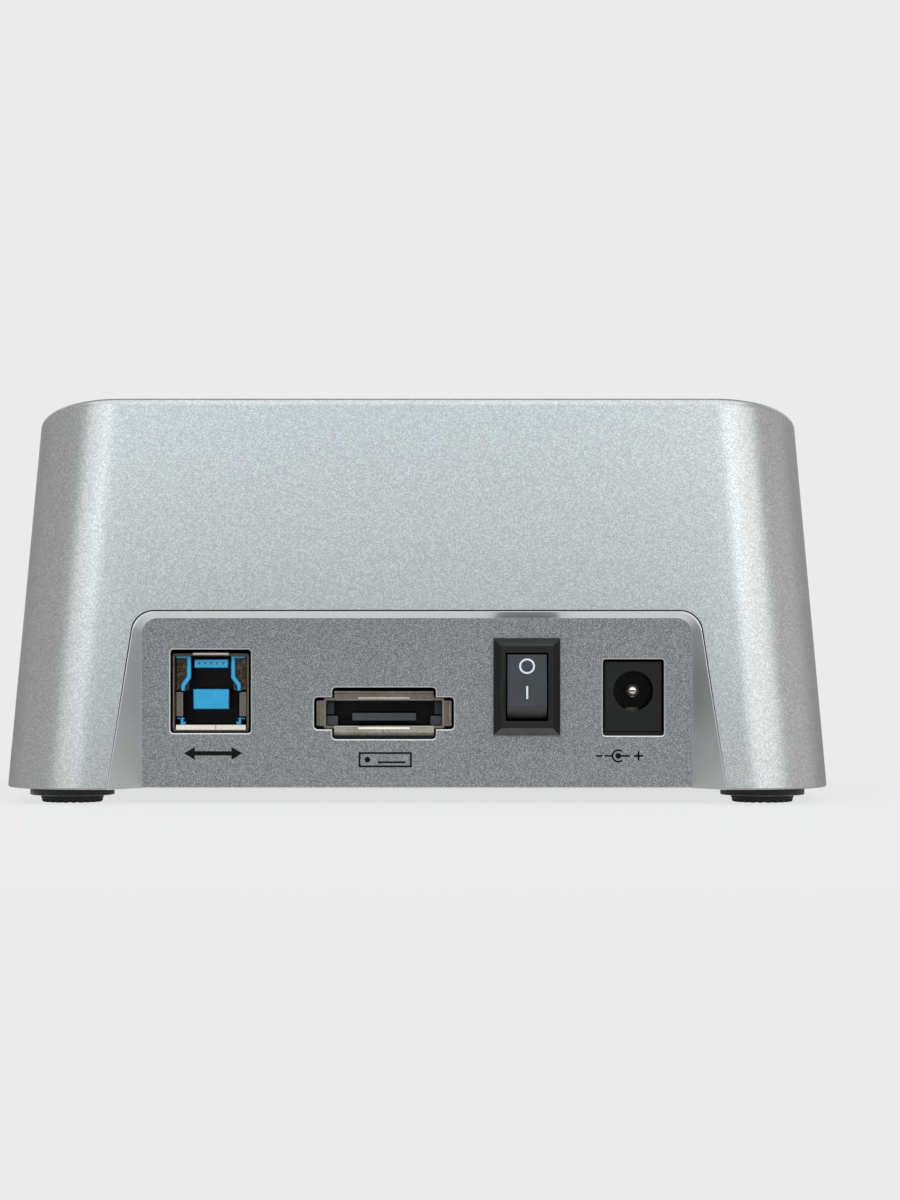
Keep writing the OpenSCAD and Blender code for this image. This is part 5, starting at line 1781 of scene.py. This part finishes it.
@dataclass
class SocketAssembly:
    """Data sockets, power inlet and switch in the rear panel."""

    shop: Workshop
    ports: Ports = Ports()
    panel_face: float = 38.5
    pair_rounding: float = 0.08
    square_copies: tuple[SoftCopy, ...] = (
        SoftCopy("usb_shell", PALETTE.nickel, 0.08, clamp=False, ahead=37.9),
        SoftCopy("usb_insulator", PALETTE.blue, 0.2, segments=3, ahead=36.1),
        SoftCopy("usb_contacts", PALETTE.deep_gold, 0.03),
    )
    square_pairs: tuple[SidePair, ...] = (
        # Plates in the upper corners stand for the shell's inner walls, darkened as painted shade
        SidePair("square_socket_springs", PALETTE.tarnish, (3.5, 5.58), (-2.0, -1.7), (6.5, 11.8)),
        SidePair("square_socket_clips", PALETTE.bronze, (4.5, 5.58), (-1.7, -1.4), (2.35, 6.2)),
        SidePair("square_socket_edges", PALETTE.worn, (4.46, 4.66), (-1.6, -1.36), (2.4, 6.15)),
        SidePair("square_socket_lines", PALETTE.bronze, (5.76, 5.98), (-0.2, 0.015), (0.6, 11.9)),
        SidePair("square_socket_heads", PALETTE.blue, (3.2, 5.5), (-1.6, -0.6), (11.6, 11.94)),
        SidePair("square_socket_heels", PALETTE.blue, (4.2, 5.35), (-1.6, -1.05), (1.93, 2.13)),
    )
    square_bars: tuple[CrossBar, ...] = (
        CrossBar("square_socket_tab", PALETTE.sill,
                 ((0.02, 12.08), (0.02, 12.4), (-0.3, 12.4), (-0.3, 12.08)), 2.85),
        CrossBar("square_socket_sill", PALETTE.sill,
                 ((-0.02, 0.12), (-0.22, 1.07), (-1.1, 1.07), (-1.1, 0.12)), 5.5),
        CrossBar("square_socket_seam", PALETTE.socket,
                 ((-0.01, 0.14), (-0.2, 1.05), (-0.3, 1.05), (-0.1, 0.14)), 0.04, -0.75, 0.01),
    )
    end_low: Triple = (-0.17, -0.1, -0.2)
    end_high: Triple = (0.17, 0.03, 0.2)
    end_rounding: float = 0.05
    end_count: int = 5
    end_pitch: float = 0.95
    end_place: Triple = (-1.9, -1.1, 10.75)
    flat_copies: tuple[SoftCopy, ...] = (
        SoftCopy("esata_shell", PALETTE.bronze, 0.1, clamp=False, ahead=37.95),
        SoftCopy("esata_insulator", PALETTE.slate, 0.1),
        SoftCopy("esata_contacts", PALETTE.deep_gold, 0.03),
    )
    strip: CrossBar = CrossBar(
        "flat_socket_strips", PALETTE.sill,
        ((-0.58, 2.17), (-0.36, 2.52), (-0.46, 2.6), (-0.68, 2.25)), 4.05, rounding=0.03)
    rim: CrossBar = CrossBar(
        "flat_socket_rims", PALETTE.worn,
        ((-0.67, 2.03), (-0.59, 2.16), (-0.67, 2.22), (-0.75, 2.09)), 1.8, 5.9, 0.02)
    flat_pairs: tuple[SidePair, ...] = (
        SidePair("flat_socket_sides", PALETTE.worn, (9.22, 9.6), (-1.0, -0.6), (-1.85, 1.85)),
        SidePair("flat_socket_cheeks", PALETTE.slate, (7.95, 9.05), (-3.6, -2.7), (-0.25, 1.8)),
    )
    flat_seam: CrossBar = CrossBar(
        "flat_socket_seam", PALETTE.socket,
        ((-0.79, -1.88), (-0.02, -3.1), (-0.1, -3.2), (-0.9, -2.0)), 0.06, 0.15, 0.01)
    inlet_copies: tuple[SoftCopy, ...] = (
        SoftCopy("power_jack", PALETTE.inlet, 0.18, segments=3, ahead=37.3),
        SoftCopy("power_pin", PALETTE.cream, 0.1),
        SoftCopy("power_leaf", PALETTE.cream, 0.06),
    )
    split_half: Point = (0.45, 0.1)
    split_depth: Point = (-0.1, 0.015)
    split_rounding: float = 0.02
    bezel_rounding: float = 0.2
    bezel_foot: float = 0.1
    rocker_rounding: float = 0.12
    rocker_axis: float = 36.5627
    rocker_tilt: float = 13.0
    rocker_up: float = 4.6
    terminals: SoftCopy = SoftCopy("switch_terminals", PALETTE.gold, 0.06)
    underside_drop: float = 3.0
    underside_tilt: float = -0.45
    ring_radii: Point = (1.24, 0.95)
    ring_steps: int = 40
    ring_rise: float = 2.28
    bar: Dash = Dash(0.29, 2.1, 0.1, (0.0, 0.0), 4)
    bar_rise: float = -1.93
    print_lift: float = 0.012
    print_root: float = 0.05
    arrow: tuple[Point, ...] = (
        (-4.6, 0.0), (-2.9, 1.0), (-2.9, 0.34), (2.9, 0.34), (2.9, 1.0),
        (4.6, 0.0), (2.9, -1.0), (2.9, -0.34), (-2.9, -0.34), (-2.9, -1.0))
    arrow_place: Point = (32.1, 7.9)
    drive_lines: tuple[tuple[Point, Point], ...] = (
        ((-4.2, -1.2), (4.2, -0.9)), ((-4.2, 0.9), (4.2, 1.2)),
        ((-4.2, -0.9), (-3.9, 0.9)), ((3.9, -0.9), (4.2, 0.9)))
    drive_dashes: tuple[Dash, ...] = (
        Dash(0.9, 0.9, 0.44, (2.8, 0.0), 4), Dash(4.4, 0.3, 0.1, (-1.0, -0.4)))
    drive_place: Point = (5.0, 6.9)
    sign_dashes: tuple[Dash, ...] = (
        Dash(1.0, 0.3, 0.1, (3.0, 0.0)), Dash(1.5, 0.3, 0.1, (-3.2, 0.0)),
        Dash(0.3, 1.5, 0.1, (-3.2, 0.0)), Dash(0.9, 0.9, 0.42, (0.0, 0.0), 5),
        Dash(1.5, 0.28, 0.1, (-1.1, 0.0)), Dash(1.2, 0.28, 0.1, (1.6, 0.0)))
    sign_radii: Point = (1.05, 0.78)
    sign_opening: float = 50.0
    sign_steps: int = 26
    sign_place: Point = (-31.7, 7.5)

    def build(self) -> None:
        """Makes and places every piece."""
        self._square_socket()
        self._flat_socket()
        self._inlet()
        self._switch()
        self._prints()

    @staticmethod
    def _bar(bar: CrossBar, datum: Triple, hand: int = 1, side: int = 1) -> Object:
        """Makes one bar with its edges rounded.

        Args:
            bar: Its section, length and place.
            datum: Middle, front and foot of the socket.
            hand: -1 mirrors its place along X.
            side: -1 turns its section over.

        Returns:
            The bar.
        """
        x, front, z = datum
        centre = x + hand * bar.shift
        section = [(front + along, z + side * up) for along, up in bar.section]
        rings = [[Vector((end, y, height)) for y, height in section]
                 for end in (centre - bar.half, centre + bar.half)]
        return soften(from_bmesh(bar.name, ring_mesh(rings)), bar.rounding)

    def _pair(self, pair: SidePair, datum: Triple) -> None:
        """Places two boxes, one on either side of a socket's middle.

        Args:
            pair: The boxes' sizes and finish.
            datum: Middle, front and foot of the socket.
        """
        x, front, z = datum
        sides = []
        for side in (-1, 1):
            low, high = sorted((x + side * pair.across[0], x + side * pair.across[1]))
            sides.append(block(pair.name, (low, front + pair.along[0], z + pair.up[0]),
                               (high, front + pair.along[1], z + pair.up[1])))
        self.shop.place(soften(join(sides), self.pair_rounding, 3), pair.finish)

    def _square_socket(self) -> None:
        """Dresses the square data socket, with its side springs, sill and contact ends."""
        datum = (self.ports.square_x, self.ports.square_front, self.ports.board)
        self.shop.soft(*self.square_copies)
        for pair in self.square_pairs:
            self._pair(pair, datum)
        for bar in self.square_bars:
            self.shop.place(self._bar(bar, datum), bar.finish)
        end = soften(block("end", self.end_low, self.end_high), self.end_rounding)
        place = tuple(middle + shift for middle, shift in zip(datum, self.end_place))
        ends = REPEATS.row(
            "square_socket_ends", end, self.end_count, self.end_pitch, place, PALETTE.bronze)
        self.shop.place(ends, PALETTE.bronze)

    def _flat_socket(self) -> None:
        """Dresses the flat data socket, with bright strips on its inner edges and a seam."""
        datum = (self.ports.flat_x, self.ports.flat_front, self.ports.flat_z)
        self.shop.soft(*self.flat_copies)
        for bar, hands in ((self.strip, (1,)), (self.rim, (-1, 1))):
            whole = join([self._bar(bar, datum, hand, side) for side in (-1, 1) for hand in hands])
            self.shop.place(whole, bar.finish)
        for pair in self.flat_pairs:
            self._pair(pair, datum)
        self.shop.place(self._bar(self.flat_seam, datum), self.flat_seam.finish)

    def _inlet(self) -> None:
        """Dresses the power inlet and splits the tip of its pin."""
        x, z = self.ports.inlet_x, self.ports.inlet_z
        across, up = self.split_half
        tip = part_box("power_pin")[1][1] / MM
        split = block("pin_split", (x - across, tip + self.split_depth[0], z - up),
                      (x + across, tip + self.split_depth[1], z + up))
        self.shop.place(soften(split, self.split_rounding), PALETTE.socket)
        self.shop.soft(*self.inlet_copies)

    def _switch(self) -> None:
        """Dresses the switch and prints its ring and bar on the rocker."""
        shop = self.shop
        ahead = self.panel_face + self.bezel_foot
        body = soften(shop.copy("switch_body"), self.bezel_rounding, 3, clamp=False, ahead=ahead)
        # The bezel's lower slope and the rocker's lower end get a paler finish, a painted reflection of the
        # table
        self._underside(body, PALETTE.switch, PALETTE.bezel_foot)
        shop.place(body, PALETTE.switch, Body.CASE, ("switch_body",))
        rocker = soften(shop.copy("switch_rocker"), self.rocker_rounding, 3)
        self._underside(rocker, PALETTE.rocker, PALETTE.rocker_end)
        shop.place(rocker, PALETTE.rocker, Body.ROCKER, ("switch_rocker",))
        shop.soft(self.terminals)
        ring = self._arc(self.ring_radii, 0.0, 2.0 * math.pi, self.ring_steps)
        marks = join([self._mark("ring_mark", ring, self.ring_rise),
                      self._mark("bar_mark", [self.bar.outline()], self.bar_rise)])
        marks.name = "rocker_marks"
        shop.place(marks, PALETTE.ink_white, Body.ROCKER)

    def _underside(self, piece: Object, finish: Finish, below: Finish) -> None:
        """Gives a switch piece its finish, and a paler one, a painted reflection of the table, where it
        looks down below the middle.

        Args:
            piece: The piece.
            finish: Finish of most faces.
            below: Finish of the faces in front of the panel that look down, paler as a painted reflection
                of the table.
        """
        for each in (finish, below):
            piece.data.materials.append(each.material())
        height = (self.ports.switch_z - self.underside_drop) * MM
        for face in piece.data.polygons:
            low = face.center.z < height and face.center.y > self.panel_face * MM
            face.material_index = 1 if low and face.normal.z < self.underside_tilt else 0

    @staticmethod
    def _arc(radii: Point, start: float, sweep: float, steps: int) -> list[list[Point]]:
        """Gives a flat ring, or a part of one, as short outlines.

        Args:
            radii: Outer and inner radius.
            start: Angle where it starts, in radians.
            sweep: Angle that it runs through.
            steps: Number of outlines.

        Returns:
            The outlines, each with four corners.
        """
        pieces = []
        for step in range(steps):
            first, last = (start + sweep * (step + k) / steps for k in (0, 1))
            corners = zip((radii[0], radii[0], radii[1], radii[1]), (first, last, last, first))
            pieces.append([(radius * math.cos(angle), radius * math.sin(angle))
                           for radius, angle in corners])
        return pieces

    def _mark(self, name: str, outlines: Sequence[Sequence[Point]], along: float) -> Object:
        """Lays flat outlines on the rocker's face.

        Args:
            name: Name of the mark.
            outlines: Outlines round the mark's own middle.
            along: Middle of the mark, up the face.

        Returns:
            A thin closed mesh.
        """
        mark = self._flat(name, outlines, (0.0, 0.0), self.rocker_up)
        mark.data.transform(Matrix.Translation(Vector((0.0, 0.0, along)) * MM))
        turn = Matrix.Rotation(math.radians(self.rocker_tilt), 4, "X")
        axis = Vector((self.ports.switch_x, self.rocker_axis, self.ports.switch_z)) * MM
        mark.data.transform(Matrix.Translation(axis) @ turn)
        return mark

    def _flat(self, name: str, outlines: Sequence[Sequence[Point]], centre: Point, face: float) -> Object:
        """Makes thin prints that stand just proud of a face that looks along +Y.

        Args:
            name: Name of the print.
            outlines: Closed outlines (x, z).
            centre: Middle of the print.
            face: Depth of the face.

        Returns:
            The print.
        """
        pieces = [prism(name, [(centre[0] + x, centre[1] + z) for x, z in outline],
                        face - self.print_root, face + self.print_lift) for outline in outlines]
        return join(pieces)

    def _prints(self) -> None:
        """Prints plain pictograms under the sockets: arrows, a drive and the inlet's polarity."""
        drive = [[(x0, z0), (x1, z0), (x1, z1), (x0, z1)] for (x0, z0), (x1, z1) in self.drive_lines]
        drive += [dash.outline() for dash in self.drive_dashes]
        opening = math.radians(self.sign_opening)
        sign = [dash.outline() for dash in self.sign_dashes]
        sign += self._arc(
            self.sign_radii, math.pi + opening, 2.0 * math.pi - 2.0 * opening, self.sign_steps)
        for name, outlines, place in (("arrow_print", [self.arrow], self.arrow_place),
                                      ("drive_print", drive, self.drive_place),
                                      ("polarity_print", sign, self.sign_place)):
            self.shop.place(self._flat(name, outlines, place, self.panel_face), PALETTE.ink_black)


@dataclass
class BoardAssembly:
    """Circuit board with its parts, inside the case."""

    shop: Workshop
    top: float = 11.3
    lead_count: int = 16
    lead_pitch: float = 0.5
    tab: Triple = (-17.3, 24.8, 16.0)
    tab_pitch: float = 6.0
    plug: Triple = (-9.0, 25.0, 14.6)
    plug_pitch: float = 2.0
    wire: float = 1.3
    wire_bow: float = 2.08
    wire_steps: int = 24
    lead_half: float = 0.11
    lead_lift: float = 0.05
    lead_section: tuple[Point, ...] = (
        (0.0, 0.7), (0.5, 0.7), (0.75, 0.06), (1.3, 0.06),
        (1.3, -0.05), (0.65, -0.05), (0.4, 0.58), (0.0, 0.58))
    copies: tuple[SoftCopy, ...] = (
        SoftCopy("main_board", PALETTE.board, 0.1, clamp=False),
        SoftCopy("drive_socket", PALETTE.socket, 0.15),
        SoftCopy("wire_header", PALETTE.ivory, 0.2),
        SoftCopy("bridge_chip", PALETTE.chip, 0.12),
        SoftCopy("flash_chip", PALETTE.chip, 0.1),
        SoftCopy("regulators", PALETTE.chip, 0.12),
        SoftCopy("crystal", PALETTE.can, 0.4, segments=4),
        SoftCopy("capacitors", PALETTE.can, 0.35, segments=3),
        SoftCopy("inductors", PALETTE.ferrite, 0.5, segments=3),
        SoftCopy("status_leds", PALETTE.led, 0.15),
    )

    def build(self) -> None:
        """Makes and places every piece."""
        self.shop.soft(*self.copies)
        self.shop.paint("chip_parts", PALETTE.ceramic)
        self.shop.paint("drive_contacts", PALETTE.gold)
        self.shop.paint("board_screws", PALETTE.zinc)
        self._wires()
        self._leads()

    def _wires(self) -> None:
        """Runs two round wires from the switch's tabs to their header, bowed to the front."""
        wires = []
        for k, rise in enumerate((0.0, self.tab_pitch)):
            start = Vector((self.tab[0], self.tab[1], self.tab[2] + rise))
            end = Vector((self.plug[0] + (k - 0.5) * self.plug_pitch, self.plug[1], self.plug[2]))
            lead = Vector((0.0, self.wire, 0.0))
            pull = Vector((0.0, self.wire_bow, 0.0))
            near, far = start - lead, end - lead
            path = [start]
            for step in range(self.wire_steps + 1):
                gone = step / self.wire_steps
                left = 1 - gone
                path.append(left ** 3 * near + 3 * gone * left ** 2 * (near - pull)
                            + 3 * gone * gone * left * (far - pull) + gone ** 3 * far)
            wires.append(tube("wire", [*path, end], self.wire / 2, sides=16))
        pair = join(wires)
        pair.name = "switch_wire_pair"
        self.shop.place(shade(pair), PALETTE.wire, Body.CASE, ("switch_wires",))

    def _leads(self) -> None:
        """Sets bent leads along two sides of the bridge chip."""
        low, high = (Vector(corner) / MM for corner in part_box("bridge_chip"))
        x, y, side = (low.x + high.x) / 2, (low.y + high.y) / 2, high.y - low.y
        rows = []
        for sign in (-1, 1):
            rings = [[Vector((half, sign * run, rise)) for run, rise in self.lead_section]
                     for half in (-self.lead_half, self.lead_half)]
            lead = from_bmesh("lead", ring_mesh(rings))
            first = x - self.lead_pitch * (self.lead_count - 1) / 2
            place = (first, y + sign * side / 2, self.top + self.lead_lift)
            rows.append(REPEATS.row("leads", lead, self.lead_count, self.lead_pitch, place, PALETTE.can))
        leads = join(rows)
        leads.name = "bridge_leads"
        self.shop.place(leads, PALETTE.can)


@dataclass(frozen=True)
class SoftBox:
    """One lamp with an even face, turned to the object."""

    name: str
    place: Triple
    size: Point
    radiance: float
    tint: Colour = (1.0, 1.0, 1.0)
    aim: Triple = (0.0, 0.0, 30.0)

    def build(self) -> None:
        """Adds the lamp, which the camera doesn't see."""
        data = bpy.data.lights.new(self.name, "AREA")
        data.shape = "RECTANGLE"
        data.size, data.size_y = (side * MM for side in self.size)
        data.energy = self.radiance * math.pi * data.size * data.size_y
        data.color = self.tint
        lamp = bpy.data.objects.new(self.name, data)
        lamp.location = Vector(self.place) * MM
        way = Vector(self.aim) * MM - lamp.location
        lamp.rotation_euler = way.to_track_quat("-Z", "Y").to_euler()
        lamp.visible_camera = False
        bpy.context.scene.collection.objects.link(lamp)


@dataclass
class Studio:
    """Camera, lights, floor and background."""

    eye: Triple = (-5.2, 638.5, 32.05)
    lens: float = 114.3
    sensor: float = 36.0
    near: float = 10.0
    floor_half: float = 6000.0
    pale: float = 0.83
    dim: float = 0.42
    room: float = 0.38
    table: Point = (110.0, 260.0)
    shadow: float = 0.12
    lamps: tuple[SoftBox, ...] = (
        SoftBox("front_box", (0.0, 620.0, 390.0), (740.0, 300.0), 1.05, (0.73, 0.91, 1.0)),
        SoftBox("right_box", (-405.0, 515.0, 282.0), (520.0, 340.0), 1.66, (0.97, 0.99, 1.0)),
        SoftBox("left_box", (375.0, 535.0, 312.0), (420.0, 320.0), 1.35, (0.93, 0.97, 1.0)),
        SoftBox("side_box", (-640.0, 40.0, 110.0), (560.0, 260.0), 0.25),
        SoftBox("over_box", (0.0, 160.0, 600.0), (900.0, 800.0), 1.3, (0.92, 0.98, 1.0)),
        SoftBox("far_box", (-40.0, -620.0, 340.0), (1000.0, 340.0), 1.2),
    )

    def build(self) -> None:
        """Sets up everything that isn't part of the object."""
        self._camera()
        for lamp in self.lamps:
            lamp.build()
        self._world()
        self._floor()
        bpy.context.scene.view_settings.view_transform = "Standard"

    def _camera(self) -> None:
        """Sets the camera level behind the object, as in the photograph."""
        data = bpy.data.cameras.new("photo_camera")
        data.lens = self.lens
        data.sensor_width = self.sensor
        data.clip_start = self.near * MM
        camera = bpy.data.objects.new("photo_camera", data)
        camera.location = Vector(self.eye) * MM
        camera.rotation_euler = (math.pi / 2, 0.0, math.pi)
        bpy.context.scene.collection.objects.link(camera)
        bpy.context.scene.camera = camera

    @staticmethod
    def _seen(tree: Tree) -> Socket:
        """Tells rays from the camera, mirrors and glass apart from plain light.

        Args:
            tree: Tree to add to.

        Returns:
            A socket that is 1 for those rays.
        """
        path = tree.nodes.new("ShaderNodeLightPath")
        source = path.outputs["Is Camera Ray"]
        for kind in ("Is Glossy Ray", "Is Transmission Ray"):
            either = tree.nodes.new("ShaderNodeMath")
            either.operation = "MAXIMUM"
            tree.links.new(source, either.inputs[0])
            tree.links.new(path.outputs[kind], either.inputs[1])
            source = either.outputs[0]
        return source

    def _world(self) -> None:
        """Lights the room softly, and shows the pale background to camera, mirrors and glass."""
        world = bpy.data.worlds.new("studio")
        world.use_nodes = True
        tree = world.node_tree
        tree.nodes.clear()
        leave = tree.nodes.new("ShaderNodeOutputWorld")
        room = tree.nodes.new("ShaderNodeBackground")
        room.inputs["Color"].default_value = (self.room, self.room, self.room, 1.0)
        seen = tree.nodes.new("ShaderNodeBackground")
        seen.inputs["Color"].default_value = (self.pale, self.pale, self.pale, 1.0)
        mix = tree.nodes.new("ShaderNodeMixShader")
        tree.links.new(self._seen(tree), mix.inputs[0])
        tree.links.new(room.outputs[0], mix.inputs[1])
        tree.links.new(seen.outputs[0], mix.inputs[2])
        tree.links.new(mix.outputs[0], leave.inputs["Surface"])
        bpy.context.scene.world = world

    def _distance(self, tree: Tree, low: float, high: float) -> Socket:
        """Gives one value on the table near the object and another far from it.

        Args:
            tree: The floor's tree.
            low: Value near the object.
            high: Value far from it.

        Returns:
            A socket with the value.
        """
        coords = tree.nodes.new("ShaderNodeTexCoord")
        length = tree.nodes.new("ShaderNodeVectorMath")
        length.operation = "LENGTH"
        reach = tree.nodes.new("ShaderNodeMapRange")
        reach.interpolation_type = "SMOOTHSTEP"
        reach.inputs["From Min"].default_value = self.table[0] * MM
        reach.inputs["From Max"].default_value = self.table[1] * MM
        reach.inputs["To Min"].default_value = low
        reach.inputs["To Max"].default_value = high
        tree.links.new(coords.outputs["Object"], length.inputs[0])
        tree.links.new(length.outputs["Value"], reach.inputs["Value"])
        return reach.outputs[0]

    def _floor(self) -> None:
        """Lays a pale table that keeps a little of the object's shadow and runs out into the background."""
        bm = bmesh.new()
        bmesh.ops.create_grid(bm, x_segments=2, y_segments=2, size=self.floor_half * MM)
        floor = from_bmesh("floor", bm)
        material = bpy.data.materials.new("pale_floor")
        material.use_nodes = True
        tree = material.node_tree
        tree.nodes.clear()
        leave = tree.nodes.new("ShaderNodeOutputMaterial")
        matt = tree.nodes.new("ShaderNodeBsdfDiffuse")
        matt.inputs["Color"].default_value = (self.pale, self.pale, self.pale, 1.0)
        shown = tree.nodes.new("ShaderNodeEmission")
        shown.inputs["Color"].default_value = (self.pale, self.pale, self.pale, 1.0)
        mirrored = tree.nodes.new("ShaderNodeEmission")
        grey = tree.nodes.new("ShaderNodeCombineColor")
        tone = self._distance(tree, self.pale, self.dim)
        for socket in grey.inputs[:3]:
            tree.links.new(tone, socket)
        tree.links.new(grey.outputs[0], mirrored.inputs["Color"])
        path = tree.nodes.new("ShaderNodeLightPath")
        faded = tree.nodes.new("ShaderNodeMath")
        faded.operation = "MULTIPLY"
        tree.links.new(path.outputs["Is Camera Ray"], faded.inputs[0])
        tree.links.new(self._distance(tree, 1.0 - self.shadow, 1.0), faded.inputs[1])
        near = tree.nodes.new("ShaderNodeMixShader")
        tree.links.new(faded.outputs[0], near.inputs[0])
        tree.links.new(matt.outputs[0], near.inputs[1])
        tree.links.new(shown.outputs[0], near.inputs[2])
        mirror = tree.nodes.new("ShaderNodeMath")
        mirror.operation = "MAXIMUM"
        tree.links.new(path.outputs["Is Glossy Ray"], mirror.inputs[0])
        tree.links.new(path.outputs["Is Transmission Ray"], mirror.inputs[1])
        mix = tree.nodes.new("ShaderNodeMixShader")
        tree.links.new(mirror.outputs[0], mix.inputs[0])
        tree.links.new(near.outputs[0], mix.inputs[1])
        tree.links.new(mirrored.outputs[0], mix.inputs[2])
        tree.links.new(mix.outputs[0], leave.inputs["Surface"])
        floor.data.materials.append(material)


def main() -> None:
    """Builds the whole scene in order and reports each piece."""
    logging.basicConfig(level=logging.INFO, format="%(name)s: %(message)s")
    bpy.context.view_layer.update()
    shop = Workshop(frame["nodes"])
    Studio().build()
    for assembly in (CaseAssembly(shop), TopAssembly(shop), SocketAssembly(shop), BoardAssembly(shop)):
        before = len(shop.placed)
        assembly.build()
        for name in shop.placed[before:]:
            LOG.info("%s: %s", type(assembly).__name__, name)
    shown = {name for name, node in frame["nodes"].items() if not node.hide_render}
    LOG.info("nodes with no finish of their own: %s", ", ".join(sorted(shown - set(shop.placed))) or "none")


if __name__ == "__main__":
    main()
